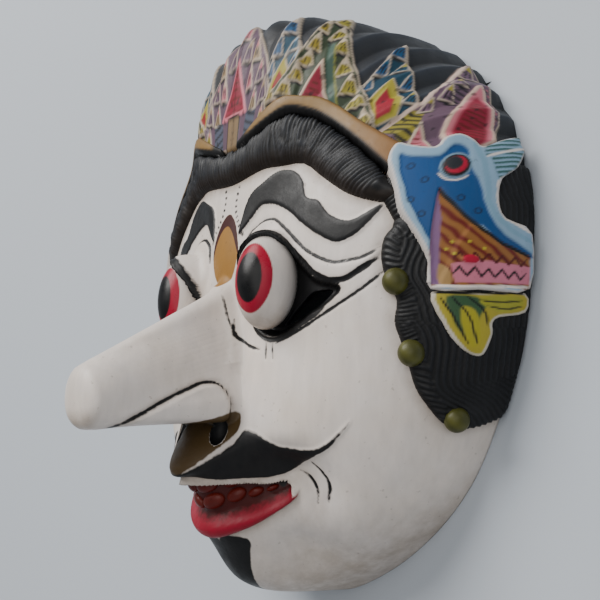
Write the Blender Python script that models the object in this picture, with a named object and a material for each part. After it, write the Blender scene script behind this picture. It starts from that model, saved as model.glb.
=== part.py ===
"""A carved wooden topeng mask, lying on its flat back rim.

The mask is one carved block, hollowed from behind. X runs across the face,
Y from chin to crown and Z out of the face. The origin lies under the middle
of the mask, on the plane of the back rim.

The skin of the face is a dome seen from a point in the back plane, the
heart. A place on the dome is given on a flat chart: millimetres of arc on a
ball of CHART radius round the heart, a across and b up; that ball is as big
as the block on the whole. Relief is raised along the rays of that chart, and
the nose is drawn out of it ring by ring.
"""

from math import pi

import bmesh
import bpy
import numpy as np

MM = 0.001

# The block and its hollow, in millimetres.
BACK_TO_FRONT = 58.0
WALL = 7.0
HEART_Y = -8.0
RIM_ANGLES = (-90, -75, -60, -45, -30, -15, 0, 15, 30, 45, 60, 75, 90)
RIM_RADII = (110.5, 107.5, 103.5, 100.0, 96.0, 94.5, 94.8, 98.5, 102.5, 104.5, 105.8, 105.3, 104.8)
CHART = (BACK_TO_FRONT + float(np.mean(RIM_RADII))) / 2
SIDE_FULLNESS = 2.3
CROWN_FULLNESS = 8.7
CHIN_FULLNESS = 3.2
BACK_TRIM = 1.0
MUZZLE_LEVELS = (-115, -96, -86, -78, -71, -65, -59.5, -56, -52, -44, -34, -26)
MUZZLE_RISE = (2.5, 2.5, 2.0, 7.5, 14.0, 17.0, 17.5, 13.0, 9.0, 4.0, 1.0, 0.0)
MUZZLE_WIDTH = 28.0
MOUTH_NARROWING = 14.0
MOUTH_LEVEL = -73.0
MOUTH_SINK = 8.0
MOUTH_SINK_PLACE = (38.0, -74.0)
MOUTH_SINK_REACH = (14.0, 9.0)
CHIN_SINK = 7.0
CHIN_SINK_PLACE = (27.0, -91.0)
CHIN_SINK_REACH = (13.0, 9.0)
LIP_LEDGE_RISE = 7.5
LIP_LEDGE_LEVEL = -59.0
LIP_LEDGE_WIDTH = 11.0
LIP_LEDGE_HEIGHT = 3.8
BROW_RIDGE_RISE = 3.0
CHEEK_RISE = 2.5

# The long nose.
NOSE_REACH = 54.0
NOSE_TIP_TOP = -43.5
NOSE_TIP_BOTTOM = -66.0
NOSE_TIP_HALF_WIDTH = 13.5
NOSE_TIP_LEAN = 4.0
NOSE_CAP = 5.5
NOSE_CENTRE = (0.0, -33.0)
NOSE_FOOT = (
    (0, -2), (6, -6), (9, -16), (12, -27), (16, -38), (19, -45), (21, -50), (19, -54), (10, -54), (0, -52.5),
)
NOSE_FILLET = 12.0
WING_FILLET = 2.5
WING_RISE = 2.6
WING = (
    (-65.5, 106), (-61.2, 97.5), (-55.3, 88), (-50.5, 79), (-48.6, 74), (-48.8, 69.5), (-51.5, 67), (-56, 66.3),
    (-61, 66.5), (-65, 68), (-67, 74), (-68.5, 90), (-68.5, 104),
)
NOSTRIL_RADIUS = 3.6
NOSTRIL_X = 13.3
NOSTRIL_Y = -63.8
NOSTRIL_Z = 67.0

# The bulging eyes with a narrow sight slit beside each.
EYE_CENTRE = (28.5, -11.8, 60.1)
EYE_SIZE = (10.5, 17.0, 11.0)
LID_THICKNESS = 2.0
SOCKET_DEPTH = 4.0
EYE_OPENING = (
    (21, -8), (22.7, 1), (26.5, 7), (32.5, 11.8), (38.5, 13), (43.8, 9.8), (48.4, 4.7), (53.1, -0.9), (59, -6.3),
    (67.5, -9.8), (61, -16.4), (55, -20), (49.5, -23.4), (41, -27.5), (34, -27.8), (27, -24.5), (22.5, -17),
)
SLIT = ((41, -25), (45.5, -20), (50.7, -15.1), (56.5, -10.5), (65, -10.3), (60.1, -16), (54, -19.6), (48.2, -22.9))

# The mouth.
LIP_RISE = 3.5
MOUTH_DEPTH = 3.0
LIPS = (
    (0, -63.4), (9, -66.3), (18, -70.6), (27, -73), (33.5, -75.5), (34, -78.4), (21.6, -80.2), (10.6, -80.8),
    (0, -81.5),
)
MOUTH = (
    (0, -65.2), (8.7, -67.4), (16.2, -70.9), (23.7, -73.2), (31.7, -75.2), (31.8, -77.4), (22.6, -77.7), (11.4, -77.3),
    (0, -76.8),
)
TEETH_DEPTH = 2.0
TEETH_LEVEL = -73.2
TEETH_HEIGHT = 3.6
TEETH_WIDTH = 44.0

# Hair, headband, crown and ear ornaments.
HAIR_RISE = 4.4
BAND_RISE = 5.0
CROWN_RISE = 1.6
TILE_RISE = 2.2
FLUTES = 9
FLUTE_DEPTH = 2.4
ORNAMENT_RISE = 5.6
LEAF_RISE = 4.6
LOCK_RISE = 3.0
STUD_RISE = 2.6
STUD_RADIUS = 4.4
BROW_RISE = 0.8
MOUSTACHE_RISE = 0.8
EDGE = 2.4

UPPER_HAIR_EDGE = ((-8, 57), (6, 56), (24, 58), (32, 60), (39, 60), (48, 58), (58, 51), (68, 42), (78, 32))
BAND_EDGE = ((8, 57), (24, 60.5), (31, 64), (38, 65), (46, 64), (55, 61), (66, 53.5), (79, 43))
HAIRLINE = ((82, 23), (76, 24), (67, 29), (55, 38), (44, 47), (31, 48), (20, 48), (2, 47), (-8, 47))
CROWN_FOOT = ((-8, 57), (8, 57), (24, 60.5), (31, 64), (38, 65), (46, 64), (55, 61), (66, 53.5), (79, 43))
CROWN_SIDE = ((88, 40), (100, 42), (112, 40), (128, 34), (134, 60), (110, 100), (60, 134), (-8, 140))
TILES = (
    ((-22, 58), (0, 85), (22, 58)),
    ((15, 66), (25, 83), (34, 68)),
    ((25, 61), (40, 89), (63, 57)),
    ((52, 70), (63, 84), (78, 60)),
    ((67, 53), (80, 92), (106, 48)),
)
ORNAMENT = (
    (78, 33), (77, 41), (82, 41), (89, 39), (90, 44), (93, 45.5), (97, 44), (100, 42), (104, 46), (109, 51),
    (113, 46), (112, 39), (107, 34), (108, 27), (110, 20), (114, 14), (121, 12), (121, -10), (107, -11),
    (94, -11), (93, 3), (89, 10), (84, 15), (82, 25),
)
LEAF = (
    (94, -12), (107, -12), (120, -11), (120, -18), (110, -21), (110, -27), (106, -34), (102, -34), (98, -30),
    (95, -22),
)
LOCK = (
    (78, 33), (84, 15), (81, 8), (81, 0), (84, -8), (86, -16), (84, -24), (85, -34), (86, -44), (87, -52),
    (90, -60), (96, -63), (106, -62), (118, -58), (130, -52), (132, -10), (132, 40), (113, 42), (100, 41),
)
STUDS = ((84, -8), (86, -33), (93, -57))
BROW = (
    (11, 22), (15, 37), (24, 42), (32, 45), (40, 44), (46, 39), (50, 31), (56, 28), (62, 21), (70, 17), (80, 22),
    (76, 15), (72, 11), (66, 9), (59, 13), (50, 20), (42, 27), (33, 32), (25, 33), (20, 29), (15, 24),
)
MOUSTACHE = (
    (-6, -61.4), (0, -61.1), (8, -60.6), (14, -60), (19.6, -59), (24.2, -56.6), (30.4, -58.8), (36.1, -63.1),
    (45.9, -64.4), (54.1, -61.4), (63, -56), (54.5, -62.5), (47.4, -66.2), (36.7, -71.8), (28.9, -72.6),
    (18.8, -70.4), (9.6, -66.2), (3.4, -63.2), (0, -62.7), (-6, -63),
)

# How finely the block is carved before it is thinned out.
SEGMENTS = 300
CAP_RINGS = 7
NOSE_RINGS = 26
FACE_RINGS = 110
HOLLOW_RINGS = 20
TRIANGLES = 8500


def hermite(x, knots, values):
    """A smooth curve through the values at the knots, level at both ends."""
    knots = np.asarray(knots, float)
    values = np.asarray(values, float)
    slopes = np.gradient(values, knots)
    slopes[0] = 0.0
    slopes[-1] = 0.0
    x = np.clip(x, knots[0], knots[-1])
    i = np.clip(np.searchsorted(knots, x) - 1, 0, len(knots) - 2)
    span = knots[i + 1] - knots[i]
    t = (x - knots[i]) / span
    return (
        (2 * t ** 3 - 3 * t ** 2 + 1) * values[i]
        + (t ** 3 - 2 * t ** 2 + t) * span * slopes[i]
        + (3 * t ** 2 - 2 * t ** 3) * values[i + 1]
        + (t ** 3 - t ** 2) * span * slopes[i + 1]
    )


def rounded(points, steps=5, closed=True):
    """Catmull-Rom curve through the points of an outline."""
    p = np.asarray(points, float)
    if closed:
        p = np.vstack([p[-1], p, p[0], p[1]])
    else:
        p = np.vstack([2 * p[0] - p[1], p, 2 * p[-1] - p[-2]])
    t = np.linspace(0, 1, steps, endpoint=False)[:, None]
    out = []
    for a, b, c, d in zip(p[:-3], p[1:-2], p[2:-1], p[3:]):
        out.append(0.5 * (2 * b + (c - a) * t + (2 * a - 5 * b + 4 * c - d) * t ** 2 + (3 * b - a - 3 * c + d) * t ** 3))
    if not closed:
        out.append(p[-2][None])
    return np.vstack(out)


def outside(ab, outline):
    """Signed distance on the chart to a closed outline, negative inside."""
    best = np.full(len(ab), 1e9)
    inside = np.zeros(len(ab), bool)
    for p, q in zip(outline, np.roll(outline, -1, axis=0)):
        edge = q - p
        rel = ab - p
        t = np.clip(rel @ edge / max(edge @ edge, 1e-9), 0, 1)
        gap = rel - t[:, None] * edge
        best = np.minimum(best, (gap ** 2).sum(1))
        if p[1] != q[1]:
            crosses = (p[1] > ab[:, 1]) != (q[1] > ab[:, 1])
            at = p[0] + (ab[:, 1] - p[1]) * edge[0] / edge[1]
            inside ^= crosses & (ab[:, 0] < at)
    return np.where(inside, -1, 1) * np.sqrt(best)


def plateau(distance, edge):
    """One inside an outline, nought outside, with a soft shoulder between."""
    t = np.clip(0.5 - distance / edge, 0, 1)
    return t * t * (3 - 2 * t)


def pillow(distance, edge):
    """Like a plateau, but rounded over a broad shoulder inside the outline."""
    t = np.clip(-distance / edge, 0, 1)
    return np.sqrt(1 - (1 - t) ** 2)


def chart_ray(ab):
    """The direction from the heart to each place on the chart."""
    reach = np.hypot(ab[:, 0], ab[:, 1])
    angle = reach / CHART
    scale = np.where(reach > 1e-9, np.sin(angle) / np.maximum(reach, 1e-9), 1 / CHART)
    return np.stack([ab[:, 0] * scale, ab[:, 1] * scale, np.cos(angle)], 1)


def ray_chart(ray):
    """The place on the chart of each direction from the heart."""
    ray = ray / np.linalg.norm(ray, axis=1)[:, None]
    angle = np.arccos(np.clip(ray[:, 2], -1, 1))
    across = np.maximum(np.hypot(ray[:, 0], ray[:, 1]), 1e-12)
    return ray[:, :2] / across[:, None] * (angle * CHART)[:, None]


def dome(ray, sunk=0.0):
    """Distance from the heart to the plain block, or to its hollow when sunk by the wall."""
    across = np.hypot(ray[:, 0], ray[:, 1])
    turn = np.degrees(np.arctan2(ray[:, 1], np.abs(ray[:, 0])))
    rim = hermite(turn, RIM_ANGLES, RIM_RADII) - sunk
    front = BACK_TO_FRONT - sunk
    lift = np.sin(np.radians(turn))
    power = SIDE_FULLNESS + np.where(lift > 0, CROWN_FULLNESS * np.abs(lift) ** 15, CHIN_FULLNESS * lift ** 6)
    out = np.maximum(ray[:, 2], 0)
    radius = ((across / rim) ** power + (out / front) ** power) ** (-1 / power)
    a, b = ray_chart(ray).T
    muzzle = MUZZLE_WIDTH - MOUTH_NARROWING * np.exp(-((b - MOUTH_LEVEL) / 10) ** 2)
    swell = hermite(b, MUZZLE_LEVELS, MUZZLE_RISE) * np.exp(-(a / muzzle) ** 2)
    for sink, place, reach in ((MOUTH_SINK, MOUTH_SINK_PLACE, MOUTH_SINK_REACH),
                               (CHIN_SINK, CHIN_SINK_PLACE, CHIN_SINK_REACH)):
        beside = (np.abs(a) - place[0]) / reach[0]
        swell = swell - sink * np.exp(-beside ** 2 - ((b - place[1]) / reach[1]) ** 2)
    ridge = BROW_RIDGE_RISE * np.exp(-(a / 20) ** 2 - ((b - 14) / 24) ** 2)
    cheek = CHEEK_RISE * np.exp(-((np.abs(a) - 48) / 22) ** 2 - ((b + 48) / 16) ** 2)
    return radius + swell + ridge + cheek


def ball(ray, centre, size):
    """Distance from the heart to the far side of an egg of three half sizes, or nought past it."""
    way = ray / size
    middle = centre / size
    spread = (way ** 2).sum(1)
    along = way @ middle
    under = along ** 2 - spread * (middle @ middle - 1)
    return np.where((under > 0) & (along > 0), (along + np.sqrt(np.maximum(under, 0))) / spread, 0)


def soft_max(a, b, blend):
    """The larger of two heights, with a fillet where they meet."""
    h = np.clip(0.5 + 0.5 * (a - b) / blend, 0, 1)
    return b + (a - b) * h + blend * h * (1 - h)


def eye_centre():
    """Centre of the right eyeball, from the heart."""
    return np.array(EYE_CENTRE) - (0, HEART_Y, 0)


def carved(ab):
    """Distance from the heart to the carved face, at each place on the chart."""
    ray = chart_ray(ab)
    side = np.abs(ab) * (1, 0) + ab * (0, 1)
    half_ray = ray * (1, 1, 1)
    half_ray[:, 0] = np.abs(ray[:, 0])
    skin = dome(ray)
    ledge = np.exp(-(ab[:, 0] / LIP_LEDGE_WIDTH) ** 2 - ((ab[:, 1] - LIP_LEDGE_LEVEL) / LIP_LEDGE_HEIGHT) ** 2)
    skin = skin + LIP_LEDGE_RISE * ledge
    centre = eye_centre()
    hood = ball(half_ray, centre, np.array(EYE_SIZE) + LID_THICKNESS)
    face = np.where(hood > 0, soft_max(skin, hood, 6.0), skin)

    opening = outside(side, rounded(EYE_OPENING))
    eyeball = ball(half_ray, centre, np.array(EYE_SIZE))
    socket = np.maximum(skin - SOCKET_DEPTH, eyeball)
    face = face + (socket - face) * plateau(opening, EDGE)

    lips = outside(side, rounded(mirrored(LIPS)))
    mouth = outside(side, rounded(mirrored(MOUTH)))
    face = face + LIP_RISE * pillow(lips, 3.5)
    tooth = MOUTH_DEPTH - TEETH_DEPTH * plateau(np.abs(ab[:, 1] - TEETH_LEVEL) - TEETH_HEIGHT / 2, 1.0) * plateau(side[:, 0] - TEETH_WIDTH / 2, 2.0)
    face = face - (tooth + LIP_RISE) * plateau(mouth, EDGE)
    face = face + MOUSTACHE_RISE * plateau(outside(side, rounded(MOUSTACHE)), EDGE)
    face = face + BROW_RISE * plateau(outside(side, rounded(BROW)), EDGE)

    hair = outside(side, rounded(np.vstack([UPPER_HAIR_EDGE, HAIRLINE]), 3))
    band = outside(side, np.vstack([rounded(BAND_EDGE, closed=False), rounded(UPPER_HAIR_EDGE, closed=False)[::-1]]))
    crown = outside(side, np.vstack([rounded(CROWN_FOOT, closed=False), CROWN_SIDE]))
    tiles = np.min([outside(side, np.array(t, float)) for t in TILES], axis=0)
    turn = np.degrees(np.arctan2(side[:, 1], np.maximum(side[:, 0], 1e-6)))
    height = np.hypot(side[:, 0], side[:, 1])
    flute = np.abs(np.sin(pi * (90 - turn) / (66 / FLUTES)))
    deep = FLUTE_DEPTH * np.clip((height - 66) / 22, 0, 1) * flute
    lock = outside(side, rounded(LOCK, 3))
    ornament = outside(side, rounded(ORNAMENT, 3))
    leaf = outside(side, rounded(LEAF, 3))
    relief = HAIR_RISE * pillow(hair, 5.0)
    relief = np.maximum(relief, BAND_RISE * plateau(band, EDGE))
    relief = np.maximum(relief, (CROWN_RISE + TILE_RISE * plateau(tiles, EDGE) - deep) * plateau(crown, EDGE))
    relief = np.maximum(relief, LOCK_RISE * pillow(lock, 4.0))
    relief = np.maximum(relief, LEAF_RISE * plateau(leaf, EDGE))
    relief = np.maximum(relief, ORNAMENT_RISE * plateau(ornament, EDGE))
    for stud in STUDS:
        gap = np.hypot(side[:, 0] - stud[0], side[:, 1] - stud[1])
        relief = np.maximum(relief, LOCK_RISE + STUD_RISE * np.sqrt(np.clip(1 - (gap / STUD_RADIUS) ** 2, 0, 1)) - 9 * (gap > STUD_RADIUS))
    at_rim = np.clip((CHART * pi / 2 - height) / 3, 0, 1)
    return face + relief * (0.35 + 0.65 * at_rim)


def mirrored(points):
    """A half outline that starts and ends on the middle, with its mirror image."""
    p = np.asarray(points, float)
    return np.vstack([p, (p * (-1, 1))[-2:0:-1]])


def on_face(ab):
    """Points of the carved face in millimetres."""
    return chart_ray(ab) * carved(ab)[:, None] + (0, HEART_Y, 0)


def on_hollow(ab):
    """Points of the hollow behind the face in millimetres."""
    ray = chart_ray(ab)
    return ray * dome(ray, WALL)[:, None] + (0, HEART_Y, 0)


def foot_reach(angle):
    """Distance on the chart from the nose's centre to its foot, at each angle."""
    foot = rounded(mirrored(NOSE_FOOT)) - NOSE_CENTRE
    turn = np.arctan2(foot[:, 1], foot[:, 0])
    order = np.argsort(turn)
    turn = turn[order]
    reach = np.hypot(foot[:, 0], foot[:, 1])[order]
    return np.interp(angle, turn, reach, period=2 * pi)


def rim_reach(angle):
    """Distance on the chart from the nose's centre to the back rim, at each angle."""
    centre = np.array(NOSE_CENTRE)
    way = np.stack([np.cos(angle), np.sin(angle)], 1)
    along = way @ centre
    return -along + np.sqrt(along ** 2 - centre @ centre + (CHART * pi / 2) ** 2)


def nose_section(angle):
    """The nose's section just behind its rounded tip."""
    top = np.array([0, NOSE_TIP_TOP, BACK_TO_FRONT + NOSE_REACH])
    bottom = np.array([0, NOSE_TIP_BOTTOM, BACK_TO_FRONT + NOSE_REACH - NOSE_TIP_LEAN])
    up = np.sin(angle)
    out = np.sign(np.cos(angle)) * np.abs(np.cos(angle)) ** 0.85
    ring = (top + bottom) / 2 + np.outer(up, (top - bottom) / 2)
    ring[:, 0] = NOSE_TIP_HALF_WIDTH * out * (1 - 0.16 * up)
    return ring


def meridians():
    """Rings of points from the nose's tip over the face and rim to the hollow's middle."""
    angle = np.linspace(0, 2 * pi, SEGMENTS, endpoint=False)
    way = np.stack([np.cos(angle), np.sin(angle)], 1)
    foot_ab = np.array(NOSE_CENTRE) + way * foot_reach(angle)[:, None]
    foot = on_face(foot_ab)
    section = nose_section(angle)
    middle = section.mean(0)
    ahead = middle - foot.mean(0)
    ahead /= np.linalg.norm(ahead)
    rings = []
    for t in np.linspace(0, pi / 2, CAP_RINGS, endpoint=False)[1:]:
        rings.append(middle + (section - middle) * np.sin(t) ** 0.75 + ahead * NOSE_CAP * np.cos(t) ** 0.75)
    for u in np.linspace(0, 1, NOSE_RINGS, endpoint=False):
        rings.append(section + (foot - section) * u)
    gap = rim_reach(angle) - foot_reach(angle)
    for t in np.linspace(0, 1, FACE_RINGS):
        rings.append(on_face(foot_ab + way * (gap * t)[:, None]))
    rings = soften_foot(np.array(rings), CAP_RINGS - 1 + NOSE_RINGS, np.sin(angle))
    for ring in rings[:CAP_RINGS + NOSE_RINGS + 12]:
        out = np.clip(np.abs(ring[:, 0]) / 10, 0, 1) * np.clip((112 - ring[:, 2]) / 10, 0, 1)
        ring[:, 0] += WING_RISE * out * np.sign(ring[:, 0]) * plateau(outside(ring[:, 1:], rounded(WING)), 2.0)
    rings = list(rings)
    for t in np.linspace(1, 0, HOLLOW_RINGS, endpoint=False):
        rings.append(on_hollow(np.array(NOSE_CENTRE) + way * (rim_reach(angle) * t)[:, None]))
    tip = middle + ahead * NOSE_CAP
    back = on_hollow(np.array([NOSE_CENTRE]))[0]
    return tip, rings, back


def soften_foot(rings, at, up):
    """Fillets where the nose grows out of the face, broad above and tight round the wings."""
    step = np.linalg.norm(rings[at + 1] - rings[at - 1], axis=1).mean() / 2
    tight = np.clip((-0.25 - up) / 0.2, 0, 1)[None, :, None]
    return fillet(rings, at, NOSE_FILLET / step) * (1 - tight) + fillet(rings, at, WING_FILLET / step) * tight


def fillet(rings, at, reach):
    """The rings with the crease at one of them rounded over a reach counted in rings."""
    out = rings.copy()
    reach = max(1, int(round(reach)))
    for k in range(at - reach, at + reach + 1):
        wide = int(round(reach * (1 - abs(k - at) / (reach + 1))))
        window = np.arange(k - wide, k + wide + 1)
        weight = 1 - np.abs(window - k) / (wide + 1)
        out[k] = (rings[window] * weight[:, None, None]).sum(0) / weight.sum()
    return out


def lay_points(obj, tip, rings, back):
    """Moves a UV sphere's points onto the rings, from one pole to the other."""
    mesh = obj.data
    co = np.empty(len(mesh.vertices) * 3, np.float32)
    mesh.vertices.foreach_get("co", co)
    co = co.reshape(-1, 3).astype(float)
    polar = np.arccos(np.clip(co[:, 2] / np.linalg.norm(co, axis=1), -1, 1))
    row = np.rint(polar / pi * (len(rings) + 1)).astype(int)
    column = np.rint(np.arctan2(co[:, 1], co[:, 0]) / (2 * pi) * SEGMENTS).astype(int) % SEGMENTS
    table = np.array(rings)
    new = table[np.clip(row - 1, 0, len(rings) - 1), column]
    new[row == 0] = tip
    new[row == len(rings) + 1] = back
    mesh.vertices.foreach_set("co", (new * MM).astype(np.float32).ravel())
    mesh.update()


def wooden(name, colour, roughness):
    """A painted wood surface."""
    material = bpy.data.materials.new(name)
    material.use_nodes = True
    shader = material.node_tree.nodes["Principled BSDF"]
    shader.inputs["Base Color"].default_value = colour
    shader.inputs["Roughness"].default_value = roughness
    shader.inputs["Metallic"].default_value = 0.0
    return material


def hidden(obj):
    """Marks a cutter, which is no part of the mask."""
    obj.hide_render = True
    obj.display_type = "WIRE"
    return obj


def slit_cutter(name, flip):
    """A crescent prism along the ray of a sight slit, through the whole wall."""
    outline = rounded(SLIT, 4) * (flip, 1)
    ray = chart_ray(outline)
    near = ray * (dome(ray, WALL) - 6.0)[:, None] + (0, HEART_Y, 0)
    far = ray * (dome(ray) + 6.0)[:, None] + (0, HEART_Y, 0)
    mesh = bpy.data.meshes.new(name)
    form = bmesh.new()
    low = [form.verts.new(p * MM) for p in near]
    high = [form.verts.new(p * MM) for p in far]
    form.faces.new(low)
    form.faces.new(high)
    for k in range(len(low)):
        form.faces.new((low[k - 1], low[k], high[k], high[k - 1]))
    bmesh.ops.recalc_face_normals(form, faces=form.faces)
    form.to_mesh(mesh)
    form.free()
    obj = bpy.data.objects.new(name, mesh)
    bpy.context.collection.objects.link(obj)
    return hidden(obj)


def nostril_cutter(name, flip):
    """An egg-shaped cutter for one nostril."""
    bpy.ops.mesh.primitive_uv_sphere_add(
        segments=16, ring_count=10, radius=NOSTRIL_RADIUS * MM,
        location=(flip * NOSTRIL_X * MM, NOSTRIL_Y * MM, NOSTRIL_Z * MM),
    )
    obj = bpy.context.object
    obj.name = name
    obj.scale = (1.0, 1.5, 1.1)
    return hidden(obj)


def back_cutter():
    """A block whose top is the plane of the back rim."""
    size = 4 * max(RIM_RADII)
    bpy.ops.mesh.primitive_cube_add(size=size * MM, location=(0, 0, (BACK_TRIM - size / 2) * MM))
    obj = bpy.context.object
    obj.name = "back_plane"
    return hidden(obj)


def make_mask():
    """The whole mask in one piece."""
    tip, rings, back = meridians()
    spread = np.array(rings)[:, :, 1]
    frame = bpy.data.objects.new("mask_frame", None)
    bpy.context.collection.objects.link(frame)
    frame.location = (0, -(spread.min() + spread.max()) / 2 * MM, -BACK_TRIM * MM)
    bpy.ops.mesh.primitive_uv_sphere_add(segments=SEGMENTS, ring_count=len(rings) + 1, radius=0.1)
    mask = bpy.context.object
    mask.name = "mask"
    mask.data.name = "mask"
    mask.parent = frame
    lay_points(mask, tip, rings, back)
    mask.data.materials.append(wooden("painted_wood", (0.66, 0.62, 0.57, 1), 0.5))
    mask.data.shade_smooth()
    thin = mask.modifiers.new("thin out", "DECIMATE")
    thin.ratio = TRIANGLES / (2 * SEGMENTS * len(rings))
    for name, cutter in (("right slit", slit_cutter("right_slit", 1)), ("left slit", slit_cutter("left_slit", -1)),
                         ("right nostril", nostril_cutter("right_nostril", 1)),
                         ("left nostril", nostril_cutter("left_nostril", -1)),
                         ("flat back", back_cutter())):
        cut = mask.modifiers.new(name, "BOOLEAN")
        cut.operation = "DIFFERENCE"
        cut.object = cutter
        cutter.parent = frame
    return mask


def main():
    for obj in list(bpy.data.objects):
        bpy.data.objects.remove(obj, do_unlink=True)
    make_mask()


main()
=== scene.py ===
"""A carved and painted wooden topeng mask, lying on its back rim on a pale floor.

The carved form is worked out as its solid is: a dome seen from a point in the
back plane, the heart, with every place on it given on a flat chart. On the
chart a runs across and b up, in millimetres of arc on a ball round the heart.
The body is one skin laid over the whole block, and the hair, headband, crown,
ear ornaments, leaves and side locks are carved panels laid on the same chart.
Paint is a colour attribute on each carved piece, brushed and worn by its
material; part of it is painted highlight on strands and ridges and painted
shade in the flutes, creases and along the panels' edges.
"""

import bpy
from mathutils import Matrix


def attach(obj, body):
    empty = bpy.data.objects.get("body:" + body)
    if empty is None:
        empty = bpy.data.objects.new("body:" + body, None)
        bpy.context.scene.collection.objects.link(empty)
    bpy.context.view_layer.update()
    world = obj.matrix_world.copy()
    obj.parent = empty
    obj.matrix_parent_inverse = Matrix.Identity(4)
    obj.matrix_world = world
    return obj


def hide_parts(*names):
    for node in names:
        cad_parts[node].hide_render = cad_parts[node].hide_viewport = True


bl_info = {
    "name": "Topeng Mask",
    "version": (1, 0, 0),
    "blender": (4, 5, 0),
    "location": "View3D > Sidebar > Topeng",
    "description": "Builds a carved and painted topeng mask lying on its back rim",
    "category": "Add Mesh",
}

from math import cos, pi, radians, sin

import bpy
import numpy as np
from bpy.props import FloatProperty, FloatVectorProperty, IntProperty, PointerProperty
from mathutils import Matrix, kdtree

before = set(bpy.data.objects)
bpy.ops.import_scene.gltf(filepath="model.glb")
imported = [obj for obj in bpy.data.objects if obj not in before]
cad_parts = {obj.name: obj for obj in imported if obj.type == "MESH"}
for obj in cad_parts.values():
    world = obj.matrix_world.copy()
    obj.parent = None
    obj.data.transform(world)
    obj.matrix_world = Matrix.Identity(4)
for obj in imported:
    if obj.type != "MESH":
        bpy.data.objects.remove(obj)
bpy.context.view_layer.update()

MM = 0.001
FRAME_SHIFT = (0.0, 11.301, -1.0)

# The block and its hollow, in millimetres.
BACK_TO_FRONT = 58.0
WALL = 7.0
HEART_Y = -8.0
RIM_ANGLES = (-90, -75, -60, -45, -30, -15, 0, 15, 30, 45, 60, 75, 90)
RIM_RADII = (110.5, 107.5, 103.5, 100.0, 96.0, 94.5, 94.8, 98.5, 102.5, 104.5, 105.8, 105.3, 104.8)
CHART = (BACK_TO_FRONT + float(np.mean(RIM_RADII))) / 2
SIDE_FULLNESS = 2.3
CROWN_FULLNESS = 8.7
CHIN_FULLNESS = 3.2
BACK_TRIM = 1.0
MUZZLE_LEVELS = (-115, -96, -86, -78, -71, -65, -59.5, -56, -52, -44, -34, -26)
MUZZLE_RISE = (2.5, 2.5, 2.0, 7.5, 14.0, 17.0, 17.5, 13.0, 9.0, 4.0, 1.0, 0.0)
MUZZLE_WIDTH = 28.0
MOUTH_NARROWING = 14.0
MOUTH_LEVEL = -73.0
SINKS = ((8.0, 38.0, -74.0, 14.0, 9.0), (7.0, 27.0, -91.0, 13.0, 9.0))
LIP_LEDGE_RISE = 7.5
LIP_LEDGE_LEVEL = -59.0
LIP_LEDGE_WIDTH = 11.0
LIP_LEDGE_HEIGHT = 3.8
BROW_RIDGE_RISE = 3.0
CHEEK_RISE = 2.5

# The long nose.
NOSE_REACH = 54.0
NOSE_TIP_TOP = -43.5
NOSE_TIP_BOTTOM = -66.0
NOSE_TIP_HALF_WIDTH = 13.5
NOSE_TIP_LEAN = 4.0
NOSE_CAP = 5.5
NOSE_CENTRE = (0.0, -33.0)
NOSE_FOOT = (
    (0, -2), (6, -6), (9, -16), (12, -27), (16, -38), (19, -45), (21, -50), (19, -54), (10, -54),
    (0, -52.5),
)
NOSE_FILLET = 12.0
WING_FILLET = 2.5
WING_RISE = 2.6
WING = (
    (-65.5, 106), (-61.2, 97.5), (-55.3, 88), (-50.5, 79), (-48.6, 74), (-48.8, 69.5), (-51.5, 67),
    (-56, 66.3), (-61, 66.5), (-65, 68), (-67, 74), (-68.5, 90), (-68.5, 104),
)
WING_GROOVE = (
    (-65.4, 105), (-60.9, 98.2), (-54.5, 88.1), (-49.8, 79), (-47.7, 74.4), (-47.6, 69.2),
    (-50.6, 66.4), (-55.4, 65.6), (-62.5, 66.4),
)
NOSTRIL = (13.3, -63.8, 67.0)
NOSTRIL_SIZE = (3.6, 5.4, 4.0)

# Eyes.
EYE_CENTRE = (28.5, -11.8, 60.1)
EYE_SIZE = (10.5, 17.0, 11.0)
LID_THICKNESS = 2.0
HOOD_SLOPE = 1.9
HOOD_ROUNDING = 3.5
HOOD_FILLET = 6.0
FOLD_RISE = 0.9
EYEBALL_COVER = 0.7
SOCKET_DEPTH = 4.0
EYE_OPENING = (
    (21, -8), (22.7, 1), (26.5, 7), (32.5, 11.8), (38.5, 13), (43.8, 9.8), (48.4, 4.7), (53.1, -0.9),
    (59, -6.3), (67.5, -9.8), (61, -16.4), (55, -20), (49.5, -23.4), (41, -27.5), (34, -27.8),
    (27, -24.5), (22.5, -17),
)
SLIT = (
    (41, -25), (45.5, -20), (50.7, -15.1), (56.5, -10.5), (65, -10.3), (60.1, -16), (54, -19.6),
    (48.2, -22.9),
)
PUPIL = (30, 31)
IRIS = (50, 46)
GAZE = (19.0, 0.0)

# Mouth.
LIP_RISE = 3.5
MOUTH_DEPTH = 3.0
LIPS = (
    (0, -63.4), (9, -66.3), (18, -70.6), (27, -73), (33.5, -75.5), (34, -78.4), (21.6, -80.2),
    (10.6, -80.8), (0, -81.5),
)
MOUTH = (
    (0, -65.2), (8.7, -67.4), (16.2, -70.9), (23.7, -73.2), (31.7, -75.2), (31.8, -77.4), (22.6, -77.7),
    (11.4, -77.3), (0, -76.8),
)
LOWER_LIP = (
    (0, -75.2), (11.4, -75.7), (22.6, -76), (29, -76.4), (33, -77), (34, -78.2), (21.6, -80.2),
    (10.6, -80.8), (0, -81.5), (-6, -81), (-6, -75.4),
)
TOOTH_ROWS = (
    ((4.4, -68.5, 4.4, 2.4), (12.4, -70.4, 3.8, 2.1), (19.2, -72.8, 2.8, 1.3), (24.6, -74.4, 2.2, 0.9)),
    ((4.3, -73.3, 4.4, 2.5), (12.2, -74.4, 3.7, 2.1), (19.0, -75.6, 2.9, 1.4), (25.0, -76.2, 2.2, 0.9)),
)
TOOTH_RISE = 2.3

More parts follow.
